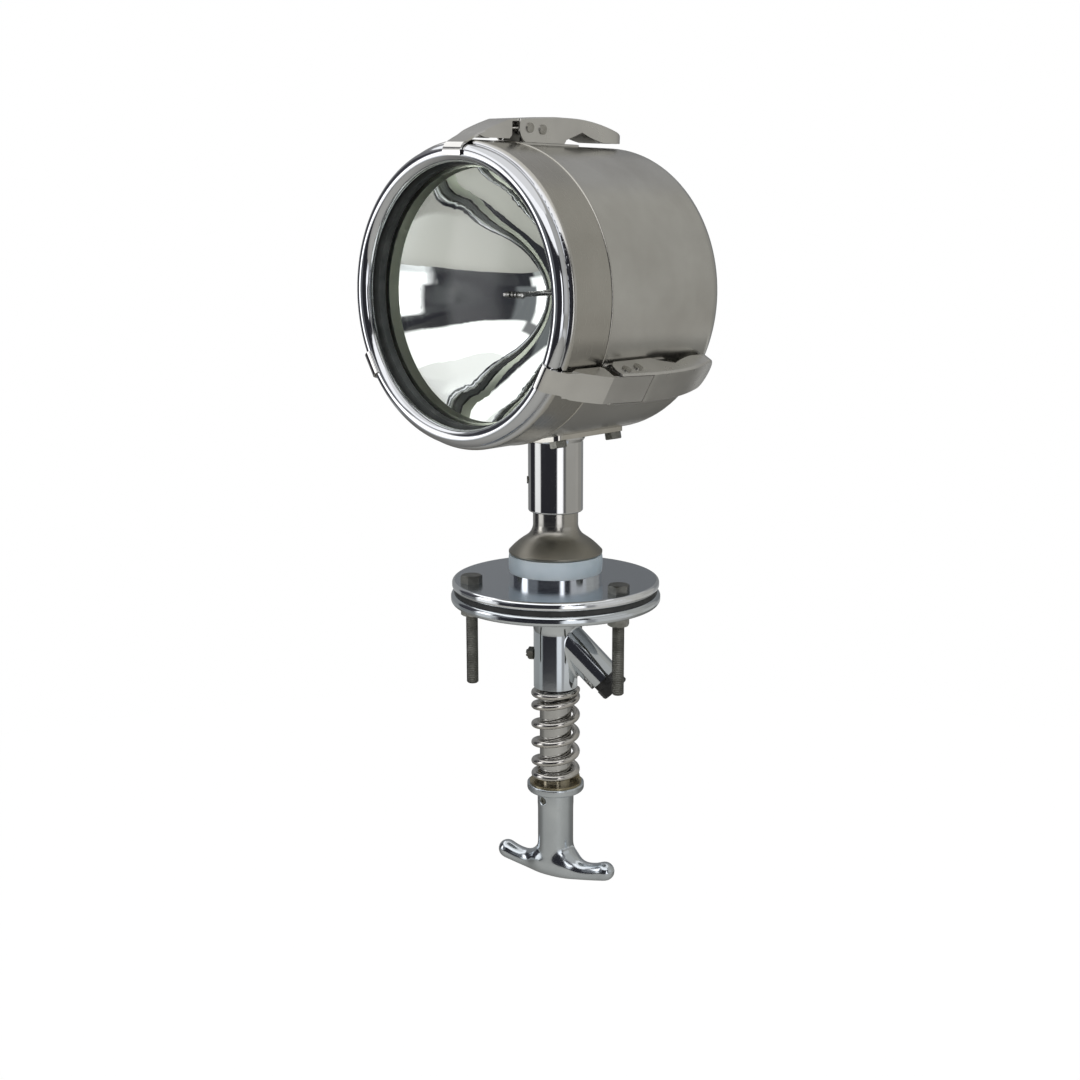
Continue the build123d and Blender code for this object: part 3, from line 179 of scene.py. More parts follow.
mesh = bmesh.new()
bmesh.ops.create_circle(mesh, cap_ends=True, radius=STUDIO_R, segments=ROUND_STEPS)
bmesh.ops.translate(mesh, vec=(0, 0, FLOOR_Z), verts=mesh.verts)
floor_data = bpy.data.meshes.new("floor")
mesh.to_mesh(floor_data)
mesh.free()
floor = bpy.data.objects.new("floor", floor_data)
scene.collection.objects.link(floor)
floor_paper = bpy.data.materials.new("pale floor")
floor_paper.use_nodes = True
tree = floor_paper.node_tree
paper = tree.nodes["Principled BSDF"]
paper.inputs["Roughness"].default_value = PAPER_ROUGHNESS
# Painted shade: the paper's colour darkens away from the front, where less light would fall.
nearness = across(tree, place_from_front(tree), "X", -FLOOR_FADE, FLOOR_FADE)
wire_up(tree, (colour_ramp(tree, nearness, FLOOR_PAINTED_SHADE), paper.inputs["Base Color"]))
glow = tree.nodes.new("ShaderNodeEmission")
glow.inputs["Color"].default_value = (1, 1, 1, 1)
glow.inputs["Strength"].default_value = PAPER_GLOW
seen = tree.nodes.new("ShaderNodeLightPath")
share = tree.nodes.new("ShaderNodeMath")
share.operation = "MULTIPLY"
share.inputs[1].default_value = GLOW_SHARE
blend = tree.nodes.new("ShaderNodeMixShader")
wire_up(tree, (seen.outputs["Is Camera Ray"], share.inputs[0]), (share.outputs[0], blend.inputs[0]),
        (paper.outputs[0], blend.inputs[1]), (glow.outputs[0], blend.inputs[2]),
        (blend.outputs[0], tree.nodes["Material Output"].inputs["Surface"]))
floor_data.materials.append(floor_paper)

# Wall: a round of flags, cards and silks that only metal and glass see: a dark room with bright windows.
# It has storeys from the floor up, each with its lower edge and its bands of light. A band starts at so
# many degrees round from the studio's front, and both sorts of edge are blurred.
WALL_TOP = 3.6
BAND_BLUR = 5.0
STOREY_BLUR = 0.12
BLACK_FLAG = (0.03, 0.03, 0.036)
DARK_ROOM = (0.06, 0.06, 0.07)
BLUE_SHADE = (0.17, 0.178, 0.19)
GREY_CLOTH = (0.26, 0.265, 0.27)
DULL_CARD = (0.38, 0.375, 0.36)
PALE_CLOTH = (0.4, 0.4, 0.4)
WARM_CARD = (0.46, 0.455, 0.43)
PALE_CARD = (0.5, 0.5, 0.49)
WHITE_SILK = (1.4, 1.4, 1.42)
BARE_LAMP = (2.4, 2.4, 2.45)
STOREYS = (
    (FLOOR_Z, (
        (-180, (0.36, 0.37, 0.37)), (-96, (0.4, 0.42, 0.42)), (-73, BLACK_FLAG), (6, (0.95, 0.97, 1.0)),
        (31, (0.4, 0.4, 0.41)), (43, (0.7, 0.7, 0.7)), (90, (0.5, 0.49, 0.46)), (108, (0.62, 0.62, 0.6)),
        (135, PALE_CARD))),
    (-0.62, (
        (-180, GREY_CLOTH), (-128, BLACK_FLAG), (-96, (1.15, 1.16, 1.18)), (-66, BLACK_FLAG),
        (6, (1.5, 1.5, 1.55)), (31, (0.16, 0.16, 0.16)), (43, (0.4, 0.393, 0.37)),
        (90, (0.42, 0.41, 0.385)), (108, (0.34, 0.335, 0.315)), (135, GREY_CLOTH))),
    (-0.2, (
        (-180, GREY_CLOTH), (-128, DARK_ROOM), (-92, BARE_LAMP), (-74, BLUE_SHADE), (-45, BLACK_FLAG),
        (11, BARE_LAMP), (20, BLACK_FLAG), (36, (0.6, 0.6, 0.6)), (80, WARM_CARD), (108, DULL_CARD),
        (135, (0.21, 0.215, 0.22)))),
    (0.8, (
        (-180, GREY_CLOTH), (-128, DARK_ROOM), (-92, WHITE_SILK), (-74, BLUE_SHADE), (-45, BLACK_FLAG),
        (36, PALE_CARD), (80, WARM_CARD), (108, DULL_CARD), (135, GREY_CLOTH))),
    (1.4, (
        (-180, PALE_CLOTH), (-150, (0.22, 0.22, 0.23)), (-66, WHITE_SILK), (31, PALE_CARD),
        (90, WARM_CARD), (135, (0.38, 0.38, 0.38)))),
    (1.9, (
        (-180, PALE_CLOTH), (-155, WHITE_SILK), (31, PALE_CARD), (90, WARM_CARD), (135, PALE_CLOTH))))


def colour_mixer(tree, share):
    """A mixer steered by a share: the sockets of its first colour, its second colour and its result."""
    mixer = tree.nodes.new("ShaderNodeMix")
    mixer.data_type = "RGBA"
    sockets = {socket.identifier: socket for socket in (*mixer.inputs, *mixer.outputs)}
    wire_up(tree, (share, sockets["Factor_Float"]))
    return sockets["A_Color"], sockets["B_Color"], sockets["Result_Color"]


mesh = bmesh.new()
low = mesh.verts.new((STUDIO_R, 0, FLOOR_Z))
high = mesh.verts.new((STUDIO_R, 0, WALL_TOP))
edge = mesh.edges.new((low, high))
bmesh.ops.spin(mesh, geom=[low, high, edge], cent=(0, 0, 0), axis=(0, 0, 1), angle=2 * pi,
               steps=ROUND_STEPS, use_merge=True)
wall_data = bpy.data.meshes.new("studio_wall")
mesh.to_mesh(wall_data)
mesh.free()
wall = bpy.data.objects.new("studio_wall", wall_data)
scene.collection.objects.link(wall)
for ray in ("camera", "diffuse", "shadow", "volume_scatter"):
    setattr(wall, f"visible_{ray}", False)
wall_light = bpy.data.materials.new("flags and softboxes")
wall_light.use_nodes = True
tree = wall_light.node_tree
tree.nodes.remove(tree.nodes["Principled BSDF"])
around = tree.nodes.new("ShaderNodeTexGradient")
around.gradient_type = "RADIAL"
wire_up(tree, (place_from_front(tree), around.inputs["Vector"]))
light_below = None
for lower_edge, bands in STOREYS:
    stops = [(0, bands[0][1])]
    for (start, light), (_, before) in zip(bands[1:], bands[:-1]):
        stops.append(((start - BAND_BLUR / 2 + 180) / 360, before))
        stops.append(((start + BAND_BLUR / 2 + 180) / 360, light))
    stops.append((1, bands[-1][1]))
    light_here = colour_ramp(tree, around.outputs["Fac"], stops)
    if light_below is None:
        light_below = light_here
        continue
    climb = across(tree, object_place(tree), "Z", lower_edge - STOREY_BLUR / 2, lower_edge + STOREY_BLUR / 2)
    lower, upper, light_so_far = colour_mixer(tree, climb)
    wire_up(tree, (light_below, lower), (light_here, upper))
    light_below = light_so_far
glow = tree.nodes.new("ShaderNodeEmission")
wire_up(tree, (light_below, glow.inputs["Color"]),
        (glow.outputs[0], tree.nodes["Material Output"].inputs["Surface"]))
wall_data.materials.append(wall_light)

# Softboxes: a key on the right, a fill on the left and a weak one behind, for the matt pieces and the
# floor. Metal and glass don't mirror them: they have the wall.
SOFTBOX_DISTANCE = 2.2
SOFTBOX_AIM_Z = 0.05
for name, azimuth, elevation, width, watts in (
        ("key", 20, 40, 1.4, 34),
        ("fill", -60, 25, 1.6, 12),
        ("back", 170, 45, 1.6, 3)):
    lamp = bpy.data.lights.new(name, "AREA")
    lamp.size = width
    lamp.energy = watts
    softbox = bpy.data.objects.new(name, lamp)
    bearing = radians(STUDIO_FRONT + azimuth)
    out = Vector((cos(bearing) * cos(radians(elevation)), sin(bearing) * cos(radians(elevation)),
                  sin(radians(elevation))))
    softbox.location = SOFTBOX_DISTANCE * out + Vector((0, 0, SOFTBOX_AIM_Z))
    softbox.rotation_euler = out.to_track_quat("Z", "Y").to_euler()
    softbox.visible_glossy = False
    softbox.visible_transmission = False
    scene.collection.objects.link(softbox)

# Roof plates: the upper plate has a raised collar, and the lower flange draws up under the roof.
# Both are steel turned flat, plated and rubbed to a satin blue grey, with rims polished bright. The lower
# one is a casting with a guide tube and a slanted branch, so its shine shows soft dents.
FLAT_FACE = (0.49, 0.525, 0.57)
FLAT_FACE_ROUGHNESS = 0.2
FLAT_FROM = 0.9
FLAT_TO = 0.995


def new_finish(name, colour, roughness, metallic=1.0):
    """A material with its Principled shader set, and its node tree."""
    material = bpy.data.materials.new(name)
    material.use_nodes = True
    shader = material.node_tree.nodes["Principled BSDF"]
    shader.inputs["Base Color"].default_value = (*colour, 1)
    shader.inputs["Roughness"].default_value = roughness
    shader.inputs["Metallic"].default_value = metallic
    return material, shader, material.node_tree


def noise_on(tree, scale, detail=2, stretch=(1, 1, 1)):
    """A noise pattern on Object coordinates, finer along an axis that is stretched."""
    mapping = tree.nodes.new("ShaderNodeMapping")
    mapping.inputs["Scale"].default_value = stretch
    noise = tree.nodes.new("ShaderNodeTexNoise")
    noise.inputs["Scale"].default_value = scale
    noise.inputs["Detail"].default_value = detail
    wire_up(tree, (object_place(tree), mapping.inputs["Vector"]),
            (mapping.outputs[0], noise.inputs["Vector"]))
    return noise.outputs["Fac"]


def spread(tree, pattern, low, high, socket, start=0.3, end=0.7):
    """Map a pattern to a range of values on a socket."""
    span = tree.nodes.new("ShaderNodeMapRange")
    span.inputs["From Min"].default_value = start
    span.inputs["From Max"].default_value = end
    span.inputs["To Min"].default_value = low
    span.inputs["To Max"].default_value = high
    wire_up(tree, (pattern, span.inputs["Value"]), (span.outputs[0], socket))


def tint(tree, pattern, first, second, socket, start=0.35, end=0.65):
    """Blend two colours by a pattern."""
    wire_up(tree, (colour_ramp(tree, pattern, ((start, first), (end, second))), socket))


def emboss(tree, shader, *layers):
    """Add relief to a shader: each layer is a pattern, its depth in metres and its strength."""
    under = None
    for pattern, depth, strength in layers:
        bump = tree.nodes.new("ShaderNodeBump")
        bump.inputs["Distance"].default_value = depth
        bump.inputs["Strength"].default_value = strength
        wire_up(tree, (pattern, bump.inputs["Height"]))
        if under:
            wire_up(tree, (under, bump.inputs["Normal"]))
        under = bump.outputs["Normal"]
    wire_up(tree, (under, shader.inputs["Normal"]))


def finish_node(material, *names):
    """Give CAD nodes a finish."""
    for name in names:
        piece = nodes[name]
        piece.data.materials.clear()
        piece.data.materials.append(material)


def plate_metal(name, dents, side, side_roughness):
    """Satin on the flat faces and brighter on the rim and the tube."""
    material, shader, tree = new_finish(name, side, side_roughness)
    place = tree.nodes.new("ShaderNodeTexCoord")
    apart = tree.nodes.new("ShaderNodeSeparateXYZ")
    flatness = tree.nodes.new("ShaderNodeMath")
    flatness.operation = "ABSOLUTE"
    wire_up(tree, (place.outputs["Normal"], apart.inputs[0]), (apart.outputs["Z"], flatness.inputs[0]))
    flat = flatness.outputs[0]
    spread(tree, flat, side_roughness, FLAT_FACE_ROUGHNESS, shader.inputs["Roughness"], FLAT_FROM, FLAT_TO)
    tint(tree, flat, side, FLAT_FACE, shader.inputs["Base Color"], FLAT_FROM, FLAT_TO)
    emboss(tree, shader, (noise_on(tree, 55), 0.0006, dents), (noise_on(tree, 420, 3), 0.00004, 0.01))
    return material


finish_node(plate_metal("satin roof plate", 0.02, (0.88, 0.9, 0.92), 0.06), "upper_plate")
finish_node(plate_metal("cast lower flange", 0.05, (0.65, 0.685, 0.71), 0.09), "lower_flange")

# Gasket and seals: moulded black rubber with a dusty sheen, pressed between the pieces that they seal.
# The lens gasket's rubber is painted lighter and grey-green: a painted sheen for the reflections on it.
for name, dark, pale, seals in (
        ("black rubber", (0.013, 0.014, 0.014), (0.026, 0.027, 0.027),
         ("deck_gasket", "gland_seal", "cable_grommet", "mouth_seal")),
        # Painted sheen: the lens gasket's lighter grey-green stands in for reflections on the rubber.
        ("lens rubber with painted sheen", (0.03, 0.034, 0.033), (0.055, 0.06, 0.058), ("lens_gasket",))):
    rubber, shader, tree = new_finish(name, dark, 0.6, metallic=0)
    spread(tree, noise_on(tree, 300, 4), 0.5, 0.75, shader.inputs["Roughness"])
    tint(tree, noise_on(tree, 60, 3), dark, pale, shader.inputs["Base Color"])
    emboss(tree, shader, (noise_on(tree, 900), 0.00005, 0.3))
    finish_node(rubber, *seals)

# Nuts and small screws: dull stainless, forged, rolled and turned. They hold the plates, the saddle,
# the guide tube, the pedestal and the handle.
STAINLESS_DARK = (0.2, 0.2, 0.175)
STAINLESS_PALE = (0.32, 0.315, 0.285)
stainless, shader, tree = new_finish("dull stainless", (0.3, 0.3, 0.27), 0.36)
spread(tree, noise_on(tree, 250, 4), 0.28, 0.46, shader.inputs["Roughness"])
tint(tree, noise_on(tree, 120, 3), STAINLESS_DARK, STAINLESS_PALE, shader.inputs["Base Color"])
emboss(tree, shader, (noise_on(tree, 1500), 0.00003, 0.2))
finish_node(stainless, "clamp_nuts", "saddle_bolts", "saddle_nuts", "lock_screw", "lock_nut",
            "pedestal_screw", "handle_screw")

# Clamp bolts: a darker stainless, with a rolled M8 thread from the flange down.
# They pass through both plates and the roof.
THREAD_PITCH = 0.00125
THREAD_DEPTH = 0.0006
THREAD_STRENGTH = 0.6
THREAD_TOP_Z = -0.012
WAVE_PITCH_AT_ONE = 2 * pi / 20
BOLT_DARK = (0.12, 0.12, 0.107)
BOLT_PALE = (0.2, 0.2, 0.182)
threaded, shader, tree = new_finish("threaded stainless", (0.2, 0.2, 0.18), 0.36)
spread(tree, noise_on(tree, 250, 4), 0.28, 0.46, shader.inputs["Roughness"])
tint(tree, noise_on(tree, 120, 3), BOLT_DARK, BOLT_PALE, shader.inputs["Base Color"])
place = object_place(tree)
turns = tree.nodes.new("ShaderNodeTexWave")
turns.bands_direction = "Z"
turns.inputs["Scale"].default_value = WAVE_PITCH_AT_ONE / THREAD_PITCH
apart = tree.nodes.new("ShaderNodeSeparateXYZ")
below = tree.nodes.new("ShaderNodeMath")
below.operation = "LESS_THAN"
below.inputs[1].default_value = THREAD_TOP_Z
thread = tree.nodes.new("ShaderNodeMath")
thread.operation = "MULTIPLY"
wire_up(tree, (place, turns.inputs["Vector"]), (place, apart.inputs[0]),
        (apart.outputs["Z"], below.inputs[0]), (turns.outputs["Fac"], thread.inputs[0]),
        (below.outputs[0], thread.inputs[1]))
emboss(tree, shader, (thread.outputs[0], THREAD_DEPTH, THREAD_STRENGTH))
finish_node(threaded, "clamp_bolts")

# Cable gland: a body and a nut of moulded black nylon, slightly shiny.
# It is screwed into the flange's branch, where the cable leaves the column.
GLAND_DARK = (0.01, 0.01, 0.01)
GLAND_PALE = (0.02, 0.02, 0.02)
gland_black, shader, tree = new_finish("black gland", (0.014, 0.014, 0.014), 0.4, metallic=0)
spread(tree, noise_on(tree, 500, 3), 0.32, 0.5, shader.inputs["Roughness"])
tint(tree, noise_on(tree, 100), GLAND_DARK, GLAND_PALE, shader.inputs["Base Color"])
emboss(tree, shader, (noise_on(tree, 1200), 0.00003, 0.2))
finish_node(gland_black, "gland_body", "gland_nut")

# Friction ring: milky nylon, turned smooth, that lets a little light in.
# It lies between the collar and the bell, and holds the head where it was turned to.
NYLON_DARK = (0.32, 0.38, 0.42)
NYLON_PALE = (0.42, 0.475, 0.515)
NYLON_HAZE = 0.6
NYLON_DEPTH = (0.008, 0.009, 0.01)
nylon, shader, tree = new_finish("milky nylon", (0.38, 0.44, 0.48), 0.32, metallic=0)
shader.inputs["Subsurface Weight"].default_value = NYLON_HAZE
shader.inputs["Subsurface Radius"].default_value = NYLON_DEPTH
shader.inputs["Subsurface Scale"].default_value = 1.0
spread(tree, noise_on(tree, 200, 3, (1, 1, 12)), 0.28, 0.42, shader.inputs["Roughness"])
tint(tree, noise_on(tree, 40), NYLON_DARK, NYLON_PALE, shader.inputs["Base Color"])
emboss(tree, shader, (noise_on(tree, 600, 2, (1, 1, 10)), 0.00003, 0.12))
finish_node(nylon, "friction_ring")

# Rod and pedestal: steel tubes, ground, polished and chromed. Hand polishing leaves them faintly wavy,
# with fine wipe marks in the shine. The rod runs from the handle up through the roof into the bell.
CHROME_DARK = (0.63, 0.63, 0.62)
CHROME_PALE = (0.7, 0.7, 0.695)
chrome, shader, tree = new_finish("polished chrome", (0.66, 0.66, 0.655), 0.06)
spread(tree, noise_on(tree, 90, 4), 0.03, 0.1, shader.inputs["Roughness"])
tint(tree, noise_on(tree, 25), CHROME_DARK, CHROME_PALE, shader.inputs["Base Color"])
emboss(tree, shader, (noise_on(tree, 40, 1), 0.0004, 0.05))
finish_node(chrome, "pedestal_tube", "rod")

# Bell: a turned casting on the rod, that rides on the friction ring.
# Its flare is a darker brown satin, and its neck is polished and paler.
NECK_FROM_Z = 0.036
NECK_TO_Z = 0.05
FLARE_METAL = (0.3, 0.285, 0.245)
NECK_METAL = (0.5, 0.485, 0.45)
bell_metal, shader, tree = new_finish("warm polished bell", (0.5, 0.48, 0.43), 0.1)
up_the_bell = across(tree, object_place(tree), "Z", NECK_FROM_Z, NECK_TO_Z)
spread(tree, up_the_bell, 0.38, 0.16, shader.inputs["Roughness"], 0, 1)
tint(tree, up_the_bell, FLARE_METAL, NECK_METAL, shader.inputs["Base Color"], 0, 1)
emboss(tree, shader, (noise_on(tree, 500, 2, (1, 1, 8)), 0.00003, 0.08))
finish_node(bell_metal, "bell")

# Spring: round spring steel wire, coiled cold, ends closed, between the guide tube and the washer.
# It squeezes up as the handle lifts, so a copy of the solid's mesh stands for it.
WIRE_DARK = (0.52, 0.505, 0.47)
WIRE_PALE = (0.64, 0.62, 0.59)
spring_steel, shader, tree = new_finish("spring steel", (0.46, 0.44, 0.4), 0.24)
spread(tree, noise_on(tree, 120, 3), 0.14, 0.24, shader.inputs["Roughness"])
tint(tree, noise_on(tree, 60, 3), WIRE_DARK, WIRE_PALE, shader.inputs["Base Color"])
emboss(tree, shader, (noise_on(tree, 250), 0.00004, 0.08))
spring = nodes["spring"].copy()
spring.data = nodes["spring"].data.copy()
spring.name = "coil_spring"
spring.parent = None
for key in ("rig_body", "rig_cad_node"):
    del spring[key]
scene.collection.objects.link(spring)
spring.data.materials.clear()
spring.data.materials.append(spring_steel)
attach(spring, "base")
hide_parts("spring")
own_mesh(spring)

# Thrust washer: a thin ring turned from bronze.
# The spring presses it on the handle.
BRONZE_DARK = (0.36, 0.31, 0.2)
BRONZE_PALE = (0.5, 0.44, 0.3)
bronze, shader, tree = new_finish("bronze", (0.42, 0.37, 0.25), 0.3)
spread(tree, noise_on(tree, 300, 4), 0.22, 0.4, shader.inputs["Roughness"])
tint(tree, noise_on(tree, 120, 3), BRONZE_DARK, BRONZE_PALE, shader.inputs["Base Color"])
emboss(tree, shader, (noise_on(tree, 1200), 0.00002, 0.15))
finish_node(bronze, "thrust_washer")

# T handle: a casting, ground and chromed. Its arms end in round knobs and run softly into the shank.
# The solid gets its knobs, one skin, and an easing of what lies below the flange.
HANDLE_YAW = radians(13.7)
KNOB_R = 0.0074
KNOB_REACH = 0.0396
KNOB_Z = -0.1976
SKIN_GRAIN = 0.0006
EASED_BELOW_Z = -0.155
EASING_ROUNDS = 110
WELD_GAP = 0.000001
CAST_CHROME_DARK = (0.56, 0.6, 0.635)
CAST_CHROME_PALE = (0.64, 0.68, 0.71)
cast_chrome, shader, tree = new_finish("chromed casting", (0.52, 0.55, 0.57), 0.15)
spread(tree, noise_on(tree, 60, 4), 0.11, 0.2, shader.inputs["Roughness"])
tint(tree, noise_on(tree, 35, 3), CAST_CHROME_DARK, CAST_CHROME_PALE, shader.inputs["Base Color"])
emboss(tree, shader, (noise_on(tree, 60), 0.0008, 0.06), (noise_on(tree, 600, 3), 0.00004, 0.05))
casting = bmesh.new()
casting.from_mesh(nodes["t_handle"].data)
bmesh.ops.remove_doubles(casting, verts=casting.verts, dist=WELD_GAP)
for reach in (-KNOB_REACH, KNOB_REACH):
    knob_centre = Matrix.Translation((reach * cos(HANDLE_YAW), reach * sin(HANDLE_YAW), KNOB_Z))
    bmesh.ops.create_icosphere(casting, subdivisions=4, radius=KNOB_R, matrix=knob_centre)
handle_data = bpy.data.meshes.new("handle_casting")
casting.to_mesh(handle_data)
casting.free()
handle = bpy.data.objects.new("handle_casting", handle_data)
scene.collection.objects.link(handle)
skin = handle.modifiers.new("one skin", "REMESH")
skin.mode = "VOXEL"
skin.voxel_size = SKIN_GRAIN
skinned = bpy.data.meshes.new_from_object(handle.evaluated_get(bpy.context.evaluated_depsgraph_get()))
handle.modifiers.clear()
casting = bmesh.new()
casting.from_mesh(skinned)
eased = [vert for vert in casting.verts if vert.co.z < EASED_BELOW_Z]
for _ in range(EASING_ROUNDS):
    bmesh.ops.smooth_vert(casting, verts=eased, factor=0.5, use_axis_x=True, use_axis_y=True,
                          use_axis_z=True)
for face in casting.faces:
    face.smooth = True
casting.to_mesh(handle_data)
casting.free()
bpy.data.meshes.remove(skinned)
handle_data.materials.append(cast_chrome)
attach(handle, "head")
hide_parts("t_handle")

# Saddle: thick sheet bent to the drum and polished.
# It sits on the pedestal, and four bolts go up through it into the drum.
SADDLE_DARK = (0.5, 0.48, 0.43)
SADDLE_PALE = (0.62, 0.6, 0.55)
saddle_steel, shader, tree = new_finish("polished saddle", (0.56, 0.54, 0.49), 0.15)
spread(tree, noise_on(tree, 90, 4), 0.06, 0.14, shader.inputs["Roughness"])
tint(tree, noise_on(tree, 50, 3), SADDLE_DARK, SADDLE_PALE, shader.inputs["Base Color"])
emboss(tree, shader, (noise_on(tree, 700), 0.00003, 0.1))
finish_node(saddle_steel, "saddle_plate")

# Drum: spun stainless sheet with a rounded rear edge.
# It is brushed round its axis to a warm satin grey, with faint cloudy patches.
DRUM_AXIS_Z = 0.2006
BRUSH_LINES_PER_M = 2600
BRUSH_LINES_ROUND = 5
BRUSHED_SHINE = 0.4
DRUM_DARK = (0.54, 0.53, 0.5)
DRUM_PALE = (0.63, 0.625, 0.595)


def brushed_round(name, dark, pale, rough_low, rough_high):
    """Sheet brushed round the drum's axis: fine lines that follow the turn, and soft clouds."""
    material, shader, tree = new_finish(name, pale, (rough_low + rough_high) / 2)
    apart = tree.nodes.new("ShaderNodeSeparateXYZ")
    height = tree.nodes.new("ShaderNodeMath")
    height.operation = "SUBTRACT"
    height.inputs[1].default_value = DRUM_AXIS_Z
    bearing = tree.nodes.new("ShaderNodeMath")
    bearing.operation = "ARCTAN2"
    unrolled = tree.nodes.new("ShaderNodeCombineXYZ")
    drawn_out = tree.nodes.new("ShaderNodeMapping")
    drawn_out.inputs["Scale"].default_value = (BRUSH_LINES_PER_M, BRUSH_LINES_ROUND, 1)
    lines = tree.nodes.new("ShaderNodeTexNoise")
    lines.inputs["Detail"].default_value = 3
    lines.inputs["Scale"].default_value = 1
    wire_up(tree, (object_place(tree), apart.inputs[0]), (apart.outputs["Z"], height.inputs[0]),
            (height.outputs[0], bearing.inputs[0]), (apart.outputs["X"], bearing.inputs[1]),
            (apart.outputs["Y"], unrolled.inputs["X"]), (bearing.outputs[0], unrolled.inputs["Y"]),
            (unrolled.outputs[0], drawn_out.inputs["Vector"]),
            (drawn_out.outputs[0], lines.inputs["Vector"]))
    spread(tree, lines.outputs["Fac"], rough_low, rough_high, shader.inputs["Roughness"])
    tint(tree, noise_on(tree, 22, 3), dark, pale, shader.inputs["Base Color"])
    shader.inputs["Anisotropic"].default_value = BRUSHED_SHINE
    tangent = tree.nodes.new("ShaderNodeTangent")
    tangent.direction_type = "RADIAL"
    tangent.axis = "Y"
    wire_up(tree, (tangent.outputs[0], shader.inputs["Tangent"]))
    emboss(tree, shader, (lines.outputs["Fac"], 0.00001, 0.08))
    return material, shader, tree


drum_metal = brushed_round("brushed drum", DRUM_DARK, DRUM_PALE, 0.22, 0.27)[0]
finish_node(drum_metal, "housing_body")

# Front ring: the same sheet, browner, rolled into a polished bead round the glass.
# The retaining ring inside it is cut from the same metal.
BEAD_EDGE_Y = -0.0862
BEAD_EDGE_BLUR = 0.0006
BEAD_ROUGHNESS = 0.07
BEAD_METAL = (0.64, 0.65, 0.67)
RING_DARK = (0.46, 0.445, 0.405)
RING_PALE = (0.52, 0.505, 0.465)
ring_metal, shader, tree = brushed_round("brushed front ring", RING_DARK, RING_PALE, 0.18, 0.28)
on_the_bead = across(tree, object_place(tree), "Y", BEAD_EDGE_Y + BEAD_EDGE_BLUR,
                     BEAD_EDGE_Y - BEAD_EDGE_BLUR)
for socket, polished in (("Roughness", 3 * (BEAD_ROUGHNESS,)), ("Base Color", BEAD_METAL)):
    brushed = shader.inputs[socket].links[0].from_socket
    sheet, bead, result = colour_mixer(tree, on_the_bead)
    bead.default_value = (*polished, 1)
    wire_up(tree, (brushed, sheet), (result, shader.inputs[socket]))
finish_node(ring_metal, "front_ring", "retaining_ring")

# Lamp: a glass front sealed to a glass bowl that is silvered inside, with its filament on two wires.
# The bowl's rim is ground rough, and its pale yellow-green is partly the glass's own tint and partly a
# painted glow for the light the glass carries round its edge.
LENS_GLASS = (0.985, 1.0, 0.99)
LENS_IOR = 1.2
SILVER_EDGE_Y = -0.066
SILVER_EDGE_BLUR = 0.0002
RIM_TINT_AND_PAINTED_GLOW = (0.84, 0.88, 0.74)
SILVER = (0.93, 0.94, 0.925)
lens_glass, shader, tree = new_finish("clear lens glass", LENS_GLASS, 0, metallic=0)
shader.inputs["Transmission Weight"].default_value = 1.0
shader.inputs["IOR"].default_value = LENS_IOR
emboss(tree, shader, (noise_on(tree, 60, 1), 0.0002, 0.02))
finish_node(lens_glass, "lamp_lens")
silvering, shader, tree = new_finish("silvered bowl", SILVER, 0.02)
behind_the_rim = across(tree, object_place(tree), "Y", SILVER_EDGE_Y - SILVER_EDGE_BLUR,
                        SILVER_EDGE_Y + SILVER_EDGE_BLUR)
spread(tree, behind_the_rim, 0.35, 0.015, shader.inputs["Roughness"], 0, 1)
# In front of the silvering the rim gets its tint and painted glow.
tint(tree, behind_the_rim, RIM_TINT_AND_PAINTED_GLOW, SILVER, shader.inputs["Base Color"], 0, 1)
emboss(tree, shader, (noise_on(tree, 50, 1), 0.0003, 0.012))
finish_node(silvering, "lamp_reflector")
tungsten, shader, tree = new_finish("lamp wire", (0.35, 0.34, 0.33), 0.3)
spread(tree, noise_on(tree, 800), 0.2, 0.4, shader.inputs["Roughness"])
finish_node(tungsten, "filament", "filament_posts")
lamp_brass, shader, tree = new_finish("lamp brass", (0.6, 0.45, 0.2), 0.3)
spread(tree, noise_on(tree, 400), 0.2, 0.4, shader.inputs["Roughness"])
finish_node(lamp_brass, "lamp_terminals")

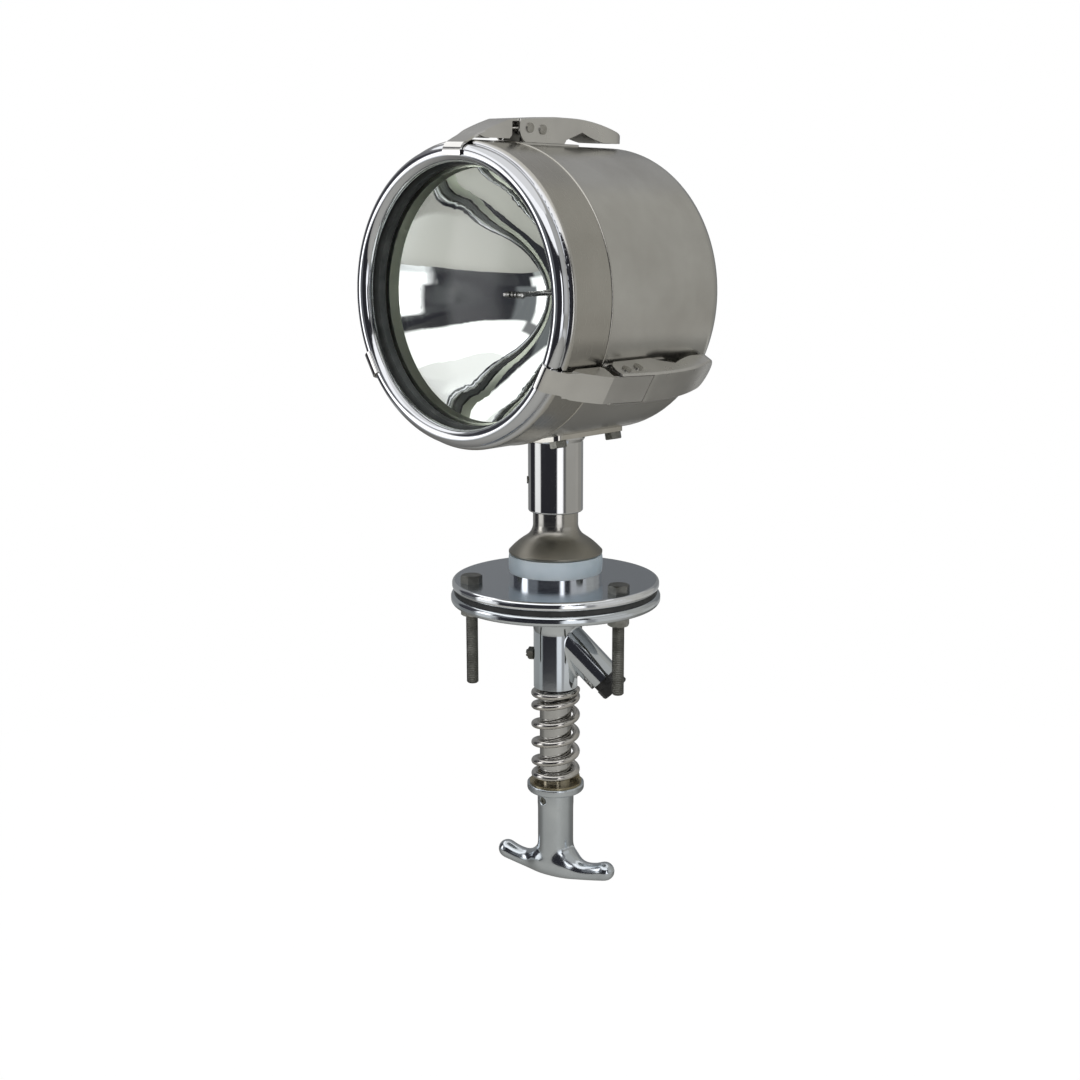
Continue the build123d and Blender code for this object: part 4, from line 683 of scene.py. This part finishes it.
# Latches: brackets and levers pressed from stainless sheet, linished along the lever.
# Each lever turns on a rivet in its bracket, and holds its hook arm on another.
LATCH_DARK = (0.6, 0.59, 0.565)
LATCH_PALE = (0.68, 0.67, 0.64)
RIVET_DARK = (0.34, 0.33, 0.3)
RIVET_PALE = (0.46, 0.45, 0.42)
latch_steel, shader, tree = new_finish("linished latch steel", (0.6, 0.59, 0.56), 0.3)
spread(tree, noise_on(tree, 60, 3), 0.26, 0.34, shader.inputs["Roughness"])
tint(tree, noise_on(tree, 40), LATCH_DARK, LATCH_PALE, shader.inputs["Base Color"])
emboss(tree, shader, (noise_on(tree, 160, 2, (2, 0.5, 2)), 0.00004, 0.05))
rivet_steel, shader, tree = new_finish("rivet steel", (0.4, 0.39, 0.36), 0.25)
spread(tree, noise_on(tree, 300, 3), 0.18, 0.34, shader.inputs["Roughness"])
tint(tree, noise_on(tree, 200), RIVET_DARK, RIVET_PALE, shader.inputs["Base Color"])
emboss(tree, shader, (noise_on(tree, 700), 0.00003, 0.1))
for side in ("top", "left", "right"):
    finish_node(latch_steel, f"{side}_latch_bracket", f"{side}_latch_lever")
    finish_node(rivet_steel, f"{side}_latch_pivot_pin", f"{side}_latch_link_pin")

# Hook arms: the same steel, one on each lever.
# The claw goes over the bead, and has worn bright there.
CLAW_EDGE_Y = -0.081
CLAW_FULL_Y = -0.085
HOOK_DARK = (0.62, 0.61, 0.585)
HOOK_PALE = (0.69, 0.68, 0.655)
hook_steel, shader, tree = new_finish("hook arm steel", (0.6, 0.59, 0.56), 0.2)
behind_the_claw = across(tree, object_place(tree), "Y", CLAW_FULL_Y, CLAW_EDGE_Y)
spread(tree, behind_the_claw, 0.09, 0.25, shader.inputs["Roughness"], 0, 1)
tint(tree, noise_on(tree, 40), HOOK_DARK, HOOK_PALE, shader.inputs["Base Color"])
emboss(tree, shader, (noise_on(tree, 160, 2, (2, 0.5, 2)), 0.00004, 0.05))
finish_node(hook_steel, "top_latch_arm", "left_latch_arm", "right_latch_arm")
